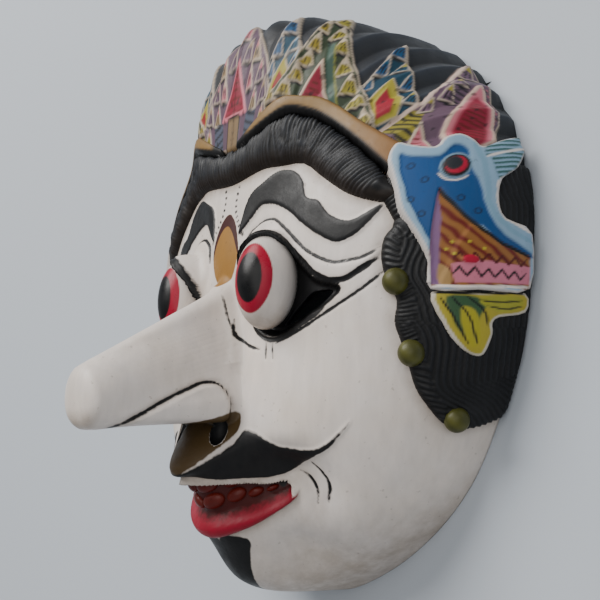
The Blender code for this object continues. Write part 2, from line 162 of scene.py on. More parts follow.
# Brow, moustache and the other painted shapes of the face, on the chart.
BROW = (
    (11, 22), (15, 37), (24, 42), (32, 45), (40, 44), (46, 39), (50, 31), (56, 28), (62, 21), (70, 17),
    (80, 22), (76, 15), (72, 11), (66, 9), (59, 13), (50, 20), (42, 27), (33, 32), (25, 33), (20, 29),
    (15, 24),
)
MOUSTACHE = (
    (-6, -61.4), (0, -61.1), (8, -60.6), (14, -60), (19.6, -59), (24.2, -56.6), (30.4, -58.8),
    (36.1, -63.1), (45.9, -64.4), (54.1, -61.4), (63, -56), (54.5, -62.5), (47.4, -66.2), (36.7, -71.8),
    (28.9, -72.6), (18.8, -70.4), (9.6, -66.2), (3.4, -63.2), (0, -62.7), (-6, -63),
)
GOATEE = ((0, -83), (13, -83.5), (9, -90), (3, -99), (0, -102))
PHILTRUM = ((0, -46), (17, -50), (21.5, -54), (19.5, -57.4), (10.4, -59.6), (4.2, -60.6), (0, -61))
FOREHEAD_OVAL = ((0, 33), (6, 29), (10, 21), (11.5, 13), (9, 4), (5, -1), (0, -3))
LID_LINE = (
    (21, -9), (21.4, -2), (23.5, 5), (27.5, 10.5), (33, 14), (37.5, 15.2), (41.8, 13.6), (47.2, 8.5),
    (53, 2.4), (57.5, -2.6), (63.5, -6.1), (69.5, -6.2), (73.9, -3.5), (80.5, 1.5),
)
FOLD_LINE = (
    (17, 12), (18, 20), (23.8, 24.6), (28.8, 26.1), (34.8, 24.9), (42.4, 18.7), (47.5, 13.7), (53, 8.3),
    (59.2, 3.9), (65.3, 1), (70.8, 1.2), (76, 2.3), (81, 5.6),
)
LOWER_LID_LINE = (
    (20.5, -8), (21.5, -17), (25.5, -25), (31, -29), (37, -30), (42, -28.6), (48, -25.4), (55, -21.6),
    (61, -18),
)
LOWER_LID_FOLD = ((11.5, -20), (13, -27), (20.5, -31.8), (28.5, -33.8))
LOWER_LID_SWEEP = ((37.6, -31.6), (51.5, -25.6), (67.7, -15.8), (76.7, -9.1), (82.8, -3.2))
NOSE_SIDE_LINE = (
    (5.4, -14, 64), (6.4, -17.5, 63), (8.5, -23, 62.5), (11.5, -29.2, 60.1), (16.1, -33, 58.2),
)
CHEEK_STROKES = (
    ((32.3, -30.5), (32.5, -37)), ((35.9, -31), (36.3, -37)),
    ((37.5, -73.2), (40.9, -75), (42, -77.6), (40.5, -80.6)),
    ((43.7, -69.9), (46.6, -72.8), (47.4, -76), (44.6, -80)),
)
DOTTED_LINES = (
    ((6.4, 47), (5, 40), (5.8, 34), (9, 28), (14, 21)),
)

# Hair, headband, crown and ear ornaments, on the chart.
UPPER_HAIR_EDGE = (
    (-8, 57), (6, 56), (24, 58.5), (33, 60.6), (41, 60), (48, 58), (57, 52.5), (68, 43), (79, 31),
)
HAIRLINE = (
    (84, 22), (76, 23.8), (67, 28.5), (56, 37.3), (44.5, 46), (32, 47), (20, 47), (2, 46), (-8, 46),
)
BAND_EDGE = ((6, 57), (22, 62), (30, 64), (38, 64), (46, 63.5), (55, 59.5), (66, 51.5), (80, 41))
BAND_FOOT = ((80, 31), (68, 43), (57, 52.5), (48, 58), (41, 60), (33, 60.6), (24, 58.5), (6, 55.5))
CROWN_FOOT = (
    (0, 57), (8, 57), (24, 60.5), (31, 63), (38, 64), (46, 63), (55, 59.5), (66, 51.5), (79, 41),
)
CROWN_SIDE = ((88, 38), (100, 40), (112, 40), (134, 34), (134, 60), (110, 100), (60, 134), (0, 140))
ORNAMENT = (
    (77.5, 39), (79, 41.2), (83, 39.8), (89, 39), (90.5, 42.5), (94, 44.5), (98, 43), (101, 41),
    (105, 45.5), (109.5, 50), (111, 47.5), (112.6, 45), (112, 37), (108.5, 30.5), (109, 22), (112, 16),
    (121, 12.6), (121.5, -9), (106, -10.8), (94, -11.2), (93.3, -2), (91.5, 3.5), (88.5, 9.5),
    (84.5, 16.5), (82, 24), (79.5, 30.5), (77.6, 35),
)
LEAF = (
    (94, -12.2), (106, -11.8), (120.5, -10.8), (120.5, -18.4), (111.6, -20.6), (109.4, -23), (109, -27),
    (105.6, -34), (102, -34), (98.6, -29.8), (96, -22.8),
)
LOCK = (
    (78, 30), (84, 15), (81.8, 9), (81.4, 1), (83, -7), (85.6, -15), (84.2, -23), (85, -30),
    (85.6, -38), (85.6, -46), (87, -52), (90, -59.5), (96.4, -62), (106, -61.4), (118, -58), (130, -52),
    (134, -10), (134, 42), (113, 42), (98, 41),
)
STUDS = ((85, -8.3, 4.4), (86.6, -33.5, 4.4), (93.3, -57, 4.2))
HAIR_RISE = 4.4
BAND_RISE = 5.0
CROWN_RISE = 1.6
CROWN_SEAT = 2.8
RELIEF = 0.8
FLUTES = 9
FLUTE_DEPTH = 2.4
ORNAMENT_RISE = 5.6
LEAF_RISE = 4.6
LOCK_RISE = 3.0
STUD_RISE = 2.6
EDGE = 1.2

# How finely the pieces are carved.
SEGMENTS = 520
CAP_RINGS = 8
NOSE_RINGS = 34
FACE_RINGS = 120
HOLLOW_RINGS = 14

# Tints of age that lie over every paint; the dark brown tint, laid where a piece's darkening attribute
# asks, is both dirt and painted shade.
BRUSHED = (0.05, 0.045, 0.04, 1)
SMOKED = (0.62, 0.52, 0.40, 1)
BLEACHED = (0.86, 0.88, 0.95, 1)
GRIME_AND_SHADE_TINT = (0.26, 0.20, 0.13, 1)
SPECKLED = (0.25, 0.20, 0.15, 1)
BUMP_HEIGHT = 0.0006

# The studio: each light has its name, place, width and power.
FLOOR_COLOUR = (0.50, 0.54, 0.59, 1)
FLOOR_ROUGHNESS = 0.85
FLOOR_LEVEL = -0.0002
LIGHTS = (
    ("sky_light", (-0.5, 1.1, 1.35), 1.3, 40.0),
    ("front_light", (0.9, 0.2, 1.3), 1.6, 9.0),
    ("low_light", (0.4, -1.2, 0.7), 1.4, 1.0),
)
LIGHT_COLOUR = (1.0, 0.98, 0.95)
SKY_COLOUR = (0.86, 0.90, 0.95, 1)
SKY_STRENGTH = 0.31

# The photographed view.
CAMERA_AZIMUTH = 54.0
CAMERA_ELEVATION = -10.222
CAMERA_ROLL = 2.541
CAMERA_DISTANCE = 340.0
CAMERA_TARGET = (21.428, -3.423, 39.0)
CAMERA_LENS = 55.56


def paint_of(red, green, blue):
    """A linear colour from the eight-bit value a paint maker would give."""
    out = []
    for value in (red, green, blue):
        c = value / 255
        out.append(c / 12.92 if c <= 0.04045 else ((c + 0.055) / 1.055) ** 2.4)
    return tuple(out)


def colour_setting(name, description, value):
    return FloatVectorProperty(name=name, description=description, subtype="COLOR", size=3, min=0.0,
                               max=1.0, default=paint_of(*value))


class TopengPaint(bpy.types.PropertyGroup):
    """The paints of the mask."""
    white: colour_setting("White", "Off-white ground of the face", (231, 221, 212))
    black: colour_setting("Black", "Brow, moustache and outlines", (9, 10, 13))
    # Slate is mostly painted sheen, a lighter blue-grey laid on black where light glances off it; the crown
    # also uses it as a pattern grey.
    slate: colour_setting("Slate", "Sheen of the worn black", (40, 44, 52))
    red: colour_setting("Red", "Lower lip and the rings of the eyes", (176, 8, 50))
    maroon: colour_setting("Maroon", "Inside of the mouth", (84, 14, 10))
    ochre: colour_setting("Ochre", "Oval on the forehead and the headband", (168, 132, 80))
    blue: colour_setting("Blue", "Field of the ear ornaments", (6, 74, 132))
    pale_blue: colour_setting("Pale blue", "Rim of the ear ornaments", (140, 172, 196))
    green: colour_setting("Green", "Stems and leaf veins", (70, 98, 84))
    lime: colour_setting("Lime", "Leaf tiles and the lower leaf", (172, 170, 62))
    pink: colour_setting("Pink", "Flames and petals", (206, 120, 140))
    mauve: colour_setting("Mauve", "Outer tiles of the crown", (140, 124, 138))
    grey: colour_setting("Grey", "Fluted ground of the crown", (38, 42, 48))
    wood: colour_setting("Bare wood", "Hollow and worn places", (112, 92, 62))


class TopengFinish(bpy.types.PropertyGroup):
    """Sizes of the finish."""
    stroke: FloatProperty(name="Stroke", description="Width of the black outlines", default=1.3 * MM,
                          min=0.0005, max=0.004, subtype="DISTANCE", unit="LENGTH")
    groove: FloatProperty(name="Groove", description="Depth of the carved outlines", default=0.45 * MM,
                          min=0.0, max=0.002, subtype="DISTANCE", unit="LENGTH")
    strand: FloatProperty(
        name="Strand", description="Width of a strand of hair", default=1.7 * MM, min=0.0008, max=0.006,
        subtype="DISTANCE", unit="LENGTH",
    )
    spacing: FloatProperty(name="Carving step",
                           description="Distance between points on the carved panels", default=0.5 * MM,
                           min=0.0003, max=0.003, subtype="DISTANCE", unit="LENGTH")
    teeth: IntProperty(name="Teeth", description="Teeth on each side of the mouth", default=4, min=1,
                       max=4)
    floor: FloatProperty(
        name="Floor", description="Width of the studio floor", default=6.0, min=1.0, max=20.0,
        subtype="DISTANCE", unit="LENGTH",
    )


def hermite(x, knots, values):
    """A smooth curve through the values at the knots, level at both ends."""
    knots = np.asarray(knots, float)
    values = np.asarray(values, float)
    slopes = np.gradient(values, knots)
    slopes[0] = 0.0
    slopes[-1] = 0.0
    x = np.clip(x, knots[0], knots[-1])
    i = np.clip(np.searchsorted(knots, x) - 1, 0, len(knots) - 2)
    span = knots[i + 1] - knots[i]
    t = (x - knots[i]) / span
    return (
        (2 * t ** 3 - 3 * t ** 2 + 1) * values[i]
        + (t ** 3 - 2 * t ** 2 + t) * span * slopes[i]
        + (3 * t ** 2 - 2 * t ** 3) * values[i + 1]
        + (t ** 3 - t ** 2) * span * slopes[i + 1]
    )


def rounded(points, steps=5, closed=True):
    """Catmull-Rom curve through the points of an outline."""
    p = np.asarray(points, float)
    if closed:
        p = np.vstack([p[-1], p, p[0], p[1]])
    else:
        p = np.vstack([2 * p[0] - p[1], p, 2 * p[-1] - p[-2]])
    t = np.linspace(0, 1, steps, endpoint=False)[:, None]
    out = []
    for a, b, c, d in zip(p[:-3], p[1:-2], p[2:-1], p[3:]):
        bend = (2 * a - 5 * b + 4 * c - d) * t ** 2 + (3 * b - a - 3 * c + d) * t ** 3
        out.append(0.5 * (2 * b + (c - a) * t + bend))
    if not closed:
        out.append(p[-2][None])
    return np.vstack(out)


def mirrored(points):
    """A half outline that starts and ends on the middle, with its mirror image."""
    p = np.asarray(points, float)
    return np.vstack([p, (p * (-1, 1))[-2:0:-1]])


def outside(ab, outline):
    """Signed distance on the chart to a closed outline, negative inside."""
    outline = np.asarray(outline, float)
    best = np.full(len(ab), 1e9)
    inside = np.zeros(len(ab), bool)
    for p, q in zip(outline, np.roll(outline, -1, axis=0)):
        edge = q - p
        rel = ab - p
        t = np.clip(rel @ edge / max(edge @ edge, 1e-9), 0, 1)
        gap = rel - t[:, None] * edge
        best = np.minimum(best, (gap ** 2).sum(1))
        if p[1] != q[1]:
            crosses = (p[1] > ab[:, 1]) != (q[1] > ab[:, 1])
            at = p[0] + (ab[:, 1] - p[1]) * edge[0] / edge[1]
            inside ^= crosses & (ab[:, 0] < at)
    return np.where(inside, -1, 1) * np.sqrt(best)


def near(ab, outline, margin=6.0):
    """Signed distance to a closed outline, worked out only close to it."""
    outline = np.asarray(outline, float)
    low = outline.min(0) - margin
    high = outline.max(0) + margin
    close = ((ab >= low) & (ab <= high)).all(1)
    far = np.full(len(ab), margin)
    far[close] = np.minimum(outside(ab[close], outline), margin)
    return far


def beside(ab, points, margin=6.0):
    """Distance to an open line, and how far along it the nearest point is."""
    line = np.asarray(points, float)
    low = line.min(0) - margin
    high = line.max(0) + margin
    close = np.where(((ab >= low) & (ab <= high)).all(1))[0]
    far = np.full(len(ab), margin)
    along = np.zeros(len(ab))
    best = np.full(len(close), margin ** 2)
    at = np.zeros(len(close))
    done = 0.0
    for p, q in zip(line[:-1], line[1:]):
        edge = q - p
        length = np.linalg.norm(edge)
        rel = ab[close] - p
        t = np.clip(rel @ edge / max(length ** 2, 1e-9), 0, 1)
        gap = ((rel - t[:, None] * edge) ** 2).sum(1)
        nearer = gap < best
        best[nearer] = gap[nearer]
        at[nearer] = done + t[nearer] * length
        done += length
    far[close] = np.sqrt(best)
    along[close] = at
    return far, along, done


def plateau(distance, edge):
    """One inside an outline, nought outside, with a soft shoulder between."""
    t = np.clip(0.5 - distance / edge, 0, 1)
    return t * t * (3 - 2 * t)


def pillow(distance, edge):
    """Like a plateau, but rounded over a broad shoulder inside the outline."""
    t = np.clip(-distance / edge, 0, 1)
    return np.sqrt(1 - (1 - t) ** 2)


def chart_ray(ab):
    """The direction from the heart to each place on the chart."""
    reach = np.hypot(ab[:, 0], ab[:, 1])
    angle = reach / CHART
    scale = np.where(reach > 1e-9, np.sin(angle) / np.maximum(reach, 1e-9), 1 / CHART)
    return np.stack([ab[:, 0] * scale, ab[:, 1] * scale, np.cos(angle)], 1)


def ray_chart(ray):
    """The place on the chart of each direction from the heart."""
    ray = ray / np.linalg.norm(ray, axis=1)[:, None]
    angle = np.arccos(np.clip(ray[:, 2], -1, 1))
    across = np.maximum(np.hypot(ray[:, 0], ray[:, 1]), 1e-12)
    return ray[:, :2] / across[:, None] * (angle * CHART)[:, None]


def dome(ray, sunk=0.0):
    """Distance from the heart to the plain block, or to its hollow when sunk by the wall."""
    across = np.hypot(ray[:, 0], ray[:, 1])
    turn = np.degrees(np.arctan2(ray[:, 1], np.abs(ray[:, 0])))
    rim = hermite(turn, RIM_ANGLES, RIM_RADII) - sunk
    front = BACK_TO_FRONT - sunk
    lift = np.sin(np.radians(turn))
    power = SIDE_FULLNESS + np.where(lift > 0, CROWN_FULLNESS * np.abs(lift) ** 15,
                                     CHIN_FULLNESS * lift ** 6)
    out = np.maximum(ray[:, 2], 0)
    radius = ((across / rim) ** power + (out / front) ** power) ** (-1 / power)
    a, b = ray_chart(ray).T
    muzzle = MUZZLE_WIDTH - MOUTH_NARROWING * np.exp(-((b - MOUTH_LEVEL) / 10) ** 2)
    swell = hermite(b, MUZZLE_LEVELS, MUZZLE_RISE) * np.exp(-(a / muzzle) ** 2)
    for sink, at, level, wide, high in SINKS:
        swell = swell - sink * np.exp(-((np.abs(a) - at) / wide) ** 2 - ((b - level) / high) ** 2)
    ridge = BROW_RIDGE_RISE * np.exp(-(a / 20) ** 2 - ((b - 14) / 24) ** 2)
    cheek = CHEEK_RISE * np.exp(-((np.abs(a) - 48) / 22) ** 2 - ((b + 48) / 16) ** 2)
    return radius + swell + ridge + cheek


def ball(ray, centre, size, skirt=0.0):
    """Distance from the heart to the far side of an egg of three half sizes.

    Past the egg it is nought, or falls away by the slope of the skirt.
    """
    way = ray / size
    middle = centre / size
    spread = (way ** 2).sum(1)
    along = way @ middle
    under = along ** 2 - spread * (middle @ middle - 1)
    reach = (along + np.sqrt(np.maximum(under, 0))) / spread
    if skirt:
        aside = np.sqrt(np.maximum(middle @ middle - along ** 2 / spread, 0))
        crest = HOOD_ROUNDING * np.clip((aside - 0.7) / 0.3, 0, 1) ** 2
        return reach - crest - skirt * np.maximum(aside - 1, 0) * np.mean(size)
    return np.where((under > 0) & (along > 0), reach, 0)


def soft_max(a, b, blend):
    """The larger of two heights, with a fillet where they meet."""
    h = np.clip(0.5 + 0.5 * (a - b) / blend, 0, 1)
    return b + (a - b) * h + blend * h * (1 - h)


def eye_centre():
    """Centre of the right eyeball, from the heart."""
    return np.array(EYE_CENTRE) - (0, HEART_Y, 0)


def both_sides(ab):
    """The chart folded over, so the left side has the right side's carving."""
    side = ab.copy()
    side[:, 0] = np.abs(side[:, 0])
    return side


def carved(ab):
    """Distance from the heart to the carved face, at each place on the chart."""
    settings = bpy.context.scene.topeng_finish
    ray = chart_ray(ab)
    side = both_sides(ab)
    half_ray = ray.copy()
    half_ray[:, 0] = np.abs(ray[:, 0])
    skin = dome(ray)
    above = (ab[:, 1] - LIP_LEDGE_LEVEL) / LIP_LEDGE_HEIGHT
    ledge = np.exp(-(ab[:, 0] / LIP_LEDGE_WIDTH) ** 2 - above ** 2)
    skin = skin + LIP_LEDGE_RISE * ledge
    centre = eye_centre()
    hood = ball(half_ray, centre, np.array(EYE_SIZE) + LID_THICKNESS, HOOD_SLOPE)
    face = np.where(hood > 0, soft_max(skin, hood, HOOD_FILLET), skin)
    fold = near(side, np.vstack([rounded(FOLD_LINE, 4, False), rounded(LID_LINE, 4, False)[::-1]]), 8.0)
    face = face + FOLD_RISE * pillow(fold, 3.0)
    opening = near(side, rounded(EYE_OPENING), 4.0)
    eyeball = ball(half_ray, centre, np.array(EYE_SIZE) - EYEBALL_COVER)
    socket = np.maximum(skin - SOCKET_DEPTH, eyeball)
    face = face + (socket - face) * plateau(opening, EDGE)
    under_crown = near(side, np.vstack([rounded(CROWN_FOOT, 4, False), CROWN_SIDE]), 8.0)
    face = face - CROWN_SEAT * plateau(under_crown + 3.0, 3.0)

    lips = near(side, rounded(mirrored(LIPS)), 4.0)
    mouth = near(side, rounded(mirrored(MOUTH)), 4.0)
    face = face + LIP_RISE * pillow(lips, 3.0)
    face = face - (MOUTH_DEPTH + LIP_RISE) * plateau(mouth, EDGE)
    face = face + RELIEF * plateau(near(side, rounded(MOUSTACHE), 4.0), EDGE)
    face = face + RELIEF * plateau(near(side, rounded(BROW), 4.0), EDGE)
    face = face - settings.groove / MM * plateau(carved_lines(side) - 0.55, 1.2)
    return face


def carved_lines(side):
    """Distance to the nearest incised line of the face."""
    lines = [LID_LINE, FOLD_LINE, LOWER_LID_LINE, LOWER_LID_FOLD, LOWER_LID_SWEEP]
    lines += list(CHEEK_STROKES)
    return np.min([beside(side, rounded(line, 4, False), 4.0)[0] for line in lines], axis=0)


def from_heart(ray, reach):
    """Points in millimetres at a reach from the heart."""
    return ray * reach[:, None] + (0, HEART_Y, 0)


def on_face(ab):
    """Points of the carved face in millimetres."""
    return from_heart(chart_ray(ab), carved(ab))


def on_hollow(ab):
    """Points of the hollow behind the face in millimetres."""
    ray = chart_ray(ab)
    return from_heart(ray, dome(ray, WALL))


def foot_reach(angle):
    """Distance on the chart from the nose's centre to its foot, at each angle."""
    foot = rounded(mirrored(NOSE_FOOT)) - NOSE_CENTRE
    turn = np.arctan2(foot[:, 1], foot[:, 0])
    order = np.argsort(turn)
    reach = np.hypot(foot[:, 0], foot[:, 1])[order]
    return np.interp(angle, turn[order], reach, period=2 * pi)


def rim_reach(angle):
    """Distance on the chart from the nose's centre to the back rim, at each angle."""
    centre = np.array(NOSE_CENTRE)
    way = np.stack([np.cos(angle), np.sin(angle)], 1)
    along = way @ centre
    return -along + np.sqrt(along ** 2 - centre @ centre + (CHART * pi / 2) ** 2)


def nose_section(angle):
    """The nose's section just behind its rounded tip."""
    top = np.array([0, NOSE_TIP_TOP, BACK_TO_FRONT + NOSE_REACH])
    bottom = np.array([0, NOSE_TIP_BOTTOM, BACK_TO_FRONT + NOSE_REACH - NOSE_TIP_LEAN])
    up = np.sin(angle)
    out = np.sign(np.cos(angle)) * np.abs(np.cos(angle)) ** 0.85
    ring = (top + bottom) / 2 + np.outer(up, (top - bottom) / 2)
    ring[:, 0] = NOSE_TIP_HALF_WIDTH * out * (1 - 0.16 * up)
    return ring


def fillet(rings, at, reach):
    """The rings with the crease at one of them rounded over a reach counted in rings."""
    out = rings.copy()
    reach = max(1, int(round(reach)))
    for k in range(at - reach, at + reach + 1):
        wide = int(round(reach * (1 - abs(k - at) / (reach + 1))))
        window = np.arange(k - wide, k + wide + 1)
        weight = 1 - np.abs(window - k) / (wide + 1)
        out[k] = (rings[window] * weight[:, None, None]).sum(0) / weight.sum()
    return out


def meridians():
    """Rings of points from the nose's tip to the hollow's middle, and their places on the chart."""
    angle = np.linspace(0, 2 * pi, SEGMENTS, endpoint=False)
    way = np.stack([np.cos(angle), np.sin(angle)], 1)
    foot_ab = np.array(NOSE_CENTRE) + way * foot_reach(angle)[:, None]
    foot = on_face(foot_ab)
    section = nose_section(angle)
    middle = section.mean(0)
    ahead = middle - foot.mean(0)
    ahead /= np.linalg.norm(ahead)
    rings = []
    places = []
    for t in np.linspace(0, pi / 2, CAP_RINGS, endpoint=False)[1:]:
        rings.append(middle + (section - middle) * np.sin(t) ** 0.75 + ahead * NOSE_CAP * np.cos(t) ** 0.75)
        places.append(np.array(NOSE_CENTRE) + 0 * way)
    for u in np.linspace(0, 1, NOSE_RINGS, endpoint=False):
        rings.append(section + (foot - section) * u)
        places.append(np.array(NOSE_CENTRE) + way * (foot_reach(angle) * u)[:, None])
    gap = rim_reach(angle) - foot_reach(angle)
    for t in np.linspace(0, 1, FACE_RINGS):
        ab = foot_ab + way * (gap * np.interp(t, (0, 0.84, 1), (0, 0.64, 1)))[:, None]
        rings.append(on_face(ab))
        places.append(ab)
    at = CAP_RINGS - 1 + NOSE_RINGS
    rings = np.array(rings)
    step = np.linalg.norm(rings[at + 1] - rings[at - 1], axis=1).mean() / 2
    tight = np.clip((-0.25 - np.sin(angle)) / 0.2, 0, 1)[None, :, None]
    rings = fillet(rings, CAP_RINGS - 1, 4)
    broad = fillet(rings, at, NOSE_FILLET / step)
    rings = broad * (1 - tight) + fillet(rings, at, WING_FILLET / step) * tight
    for ring in rings[:CAP_RINGS + NOSE_RINGS + 14]:
        out = np.clip(np.abs(ring[:, 0]) / 10, 0, 1) * np.clip((112 - ring[:, 2]) / 10, 0, 1)
        lift = WING_RISE * plateau(outside(ring[:, 1:], rounded(WING)), 2.0)
        lift = lift - 0.7 * plateau(beside(ring[:, 1:], rounded(WING_GROOVE, 4, False))[0] - 0.6, 1.4)
        ring[:, 0] += out * np.sign(ring[:, 0]) * lift
    rings = list(rings)
    for t in np.linspace(1, 0, HOLLOW_RINGS, endpoint=False):
        ab = np.array(NOSE_CENTRE) + way * (rim_reach(angle) * t)[:, None]
        rings.append(on_hollow(ab))
        places.append(ab)
    back = on_hollow(np.array([NOSE_CENTRE]))[0]
    return middle + ahead * NOSE_CAP, np.array(rings), back, np.array(places)


def deselect():
    bpy.ops.object.select_all(action="DESELECT")


def co_of(mesh):
    co = np.empty(len(mesh.vertices) * 3, np.float32)
    mesh.vertices.foreach_get("co", co)
    return co.reshape(-1, 3).astype(float)


def set_co(mesh, co):
    mesh.vertices.foreach_set("co", co.astype(np.float32).ravel())
    mesh.update()


def put_co(mesh, points):
    """Sets a mesh's points from millimetres in the drawing to metres in the frame."""
    set_co(mesh, (points + FRAME_SHIFT) * MM)


def write_colour(mesh, name, rgb):
    layer = mesh.color_attributes.new(name, "FLOAT_COLOR", "POINT")
    rgba = np.concatenate([rgb, np.ones((len(rgb), 1))], 1)
    layer.data.foreach_set("color", rgba.astype(np.float32).ravel())


def write_value(mesh, name, values):
    layer = mesh.attributes.new(name, "FLOAT", "POINT")
    layer.data.foreach_set("value", np.asarray(values, np.float32))


def lay_paint(mesh, rgb, grime_and_shade):
    write_colour(mesh, "paint", rgb)
    write_value(mesh, "grime_and_shade", np.broadcast_to(grime_and_shade, len(rgb)))


def waver(ab, size, seed):
    """Smooth, repeatable unevenness between -1 and 1 over the chart."""
    out = np.zeros(len(ab))
    for k in range(4):
        turn = 1.3 * k + 2.1 * seed
        way = np.array([cos(turn), sin(turn)]) * 2 * pi / (size * (1 + 0.37 * k))
        out += np.sin(ab @ way + 1.7 * k + seed)
    return out / 4


class Palette:
    """Paint laid on the points of a piece, over the chart."""

    def __init__(self, ab, ground):
        self.ab = ab + 0.22 * np.stack([waver(ab, 5, 1), waver(ab, 5, 2)], 1)
        self.rgb = np.tile(np.array(ground, float), (len(ab), 1))
        self.relief = np.zeros(len(ab))

    def blend(self, amount, colour):
        self.rgb += (np.array(colour, float) - self.rgb) * amount[:, None]

    def fill(self, outline, colour, grow=0.0, edge=0.45, raise_by=0.0):
        amount = plateau(near(self.ab, outline, 8.0) - grow, edge)
        self.blend(amount, colour)
        self.relief += raise_by * amount

    def edged(self, outline, colour, border, width=0.8, raise_by=0.0):
        far = near(self.ab, outline, 8.0)
        self.blend(plateau(far, 0.6), border)
        self.blend(plateau(far + width, 0.7), colour)
        self.relief += raise_by * plateau(far, 1.1)

    def line(self, points, width, colour, dash=0.0, sink=0.0):
        far, along, whole = beside(self.ab, points, 6.0)
        taper = np.clip(np.minimum(along, whole - along) / 3 + 0.35, 0, 1)
        amount = plateau(far - width * taper / 2, 0.4)
        if dash:
            amount = amount * plateau(np.abs(np.mod(along, dash) - dash / 2) - dash * 0.27, 0.3)
        self.blend(amount, colour)
        self.relief -= sink * amount

    def hatch(self, outline, angle, pitch, colour, cover=0.4, grow=0.0, sink=0.0):
        way = np.array([cos(radians(angle)), sin(radians(angle))])
        phase = np.mod(self.ab @ way / pitch + 0.12 * waver(self.ab, 4, 5), 1)
        amount = plateau(near(self.ab, outline, 4.0) - grow,
                         0.4) * plateau(np.abs(phase - 0.5) - cover / 2, 0.3)
        self.blend(amount, colour)
        self.relief -= sink * amount


def paints():
    settings = bpy.context.scene.topeng_paint
    names = ("white", "black", "slate", "red", "maroon", "ochre", "blue", "pale_blue", "green", "lime",
             "pink", "mauve", "grey", "wood")
    return {name: np.array(getattr(settings, name)) for name in names}


def painted_wood(name, roughness=0.5, bump=0.25, dirt=0.5, grain=1.0, coats=()):
    """Hand painted wood: the piece's own paint, brushed unevenly, dirtied and worn, and darkened by its
    darkening attribute, which lays both dirt and painted shade.
    """
    material = bpy.data.materials.new(name)
    material.use_nodes = True
    tree = material.node_tree
    link = tree.links.new
    shader = tree.nodes["Principled BSDF"]
    shader.inputs["Metallic"].default_value = 0.0
    shader.inputs["Specular IOR Level"].default_value = 0.3

    def made(kind, **values):
        node = tree.nodes.new("ShaderNode" + kind)
        for key, value in values.items():
            node.inputs[key.replace("_", " ")].default_value = value
        return node

    where = made("TexCoord")

    def layer_of(attribute_name, output):
        node = made("Attribute")
        node.attribute_name = attribute_name
        return node.outputs[output]

    def noise(scale, detail, rough=0.55, stretch=None):
        node = made("TexNoise", Scale=scale, Detail=detail, Roughness=rough)
        if stretch:
            turn = made("Mapping", Scale=stretch)
            link(where.outputs["Object"], turn.inputs["Vector"])
            link(turn.outputs["Vector"], node.inputs["Vector"])
        else:
            link(where.outputs["Object"], node.inputs["Vector"])
        return node.outputs["Fac"]

    def span(value, low, high, to_low=0.0, to_high=1.0):
        node = made("MapRange", From_Min=low, From_Max=high, To_Min=to_low, To_Max=to_high)
        link(value, node.inputs["Value"])
        return node.outputs["Result"]

    def mix(factor, first, second, kind="MIX"):
        node = made("Mix")
        node.data_type = "RGBA"
        node.blend_type = kind
        if isinstance(factor, float):
            node.inputs["Factor"].default_value = factor
        else:
            link(factor, node.inputs["Factor"])
        for value, socket in ((first, node.inputs[6]), (second, node.inputs[7])):
            if isinstance(value, tuple):
                socket.default_value = value
            else:
                link(value, socket)
        return node.outputs[2]

    def reckoned(operation, first, second):
        node = made("Math")
        node.operation = operation
        link(first, node.inputs[0])
        if isinstance(second, float):
            node.inputs[1].default_value = second
        else:
            link(second, node.inputs[1])
        return node.outputs[0]

    def times(first, second):
        return reckoned("MULTIPLY", first, second)

    cloud = noise(38.0, 4.0)
    brush = noise(240.0, 3.0, 0.6, (1.0, 0.22, 1.0))
    speck = noise(520.0, 2.0, 0.5)
    flake = noise(150.0, 5.0, 0.7)
    if coats:
        paint = (*paints()["white"], 1)
        wobble = span(noise(420.0, 2.0), 0.2, 0.8, -0.22, 0.22)
        for layer, pigment in coats:
            edge = reckoned("ADD", layer_of(layer, "Fac"), wobble)
            paint = mix(span(edge, -0.22, 0.22, 1.0, 0.0), paint, (*pigment, 1))
    else:
        paint = layer_of("paint", "Color")
    colour = mix(span(brush, 0.3, 0.75), paint, mix(0.14, paint, BRUSHED))
    colour = mix(times(span(cloud, 0.40, 0.75), 0.45 * dirt + 0.05), colour, SMOKED, "MULTIPLY")
    colour = mix(times(span(cloud, 0.60, 0.35), 0.3), colour, BLEACHED, "MULTIPLY")
    # Darkening from the piece's attribute: dirt, and painted shade in creases, along panel edges and under
    # the jaw.
    shade_and_grime_amount = times(layer_of("grime_and_shade", "Fac"), span(flake, 0.2, 0.6, 0.35, 1.0))
    colour = mix(shade_and_grime_amount, colour, GRIME_AND_SHADE_TINT, "MULTIPLY")
    colour = mix(times(span(speck, 0.69, 0.75), 0.7 * dirt), colour, SPECKLED, "MULTIPLY")
    link(colour, shader.inputs["Base Color"])
    link(span(flake, 0.3, 0.7, roughness - 0.08, roughness + 0.14), shader.inputs["Roughness"])
    rough = reckoned("ADD", times(brush, 0.55 * grain), times(flake, 0.6))
    lumps = made("Bump", Strength=bump, Distance=BUMP_HEIGHT)
    link(rough, lumps.inputs["Height"])
    link(lumps.outputs["Normal"], shader.inputs["Normal"])
    return material


def finish_piece(obj, name, material):
    obj.name = name
    obj.data.name = name
    obj.data.materials.clear()
    obj.data.materials.append(material)
    obj.data.shade_smooth()
    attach(obj, "root")
    return obj


def slit_cutter(name, flip):
    """A crescent prism through the whole wall at a sight slit."""
    outline = rounded(SLIT, 4) * (flip, 1)
    ray = chart_ray(outline)
    near_end = from_heart(ray, dome(ray, WALL) - 6.0)
    far_end = from_heart(ray, dome(ray) + 6.0)
    count = len(outline)
    deselect()
    bpy.ops.mesh.primitive_cylinder_add(vertices=count, radius=1, depth=1)
    obj = bpy.context.object
    obj.name = name
    start = co_of(obj.data)
    turn = np.rint(np.arctan2(start[:, 0], start[:, 1]) / (2 * pi) * count).astype(int) % count
    put_co(obj.data, np.where(start[:, 2:] > 0, far_end[turn], near_end[turn]))
    recalculate(obj)
    return obj


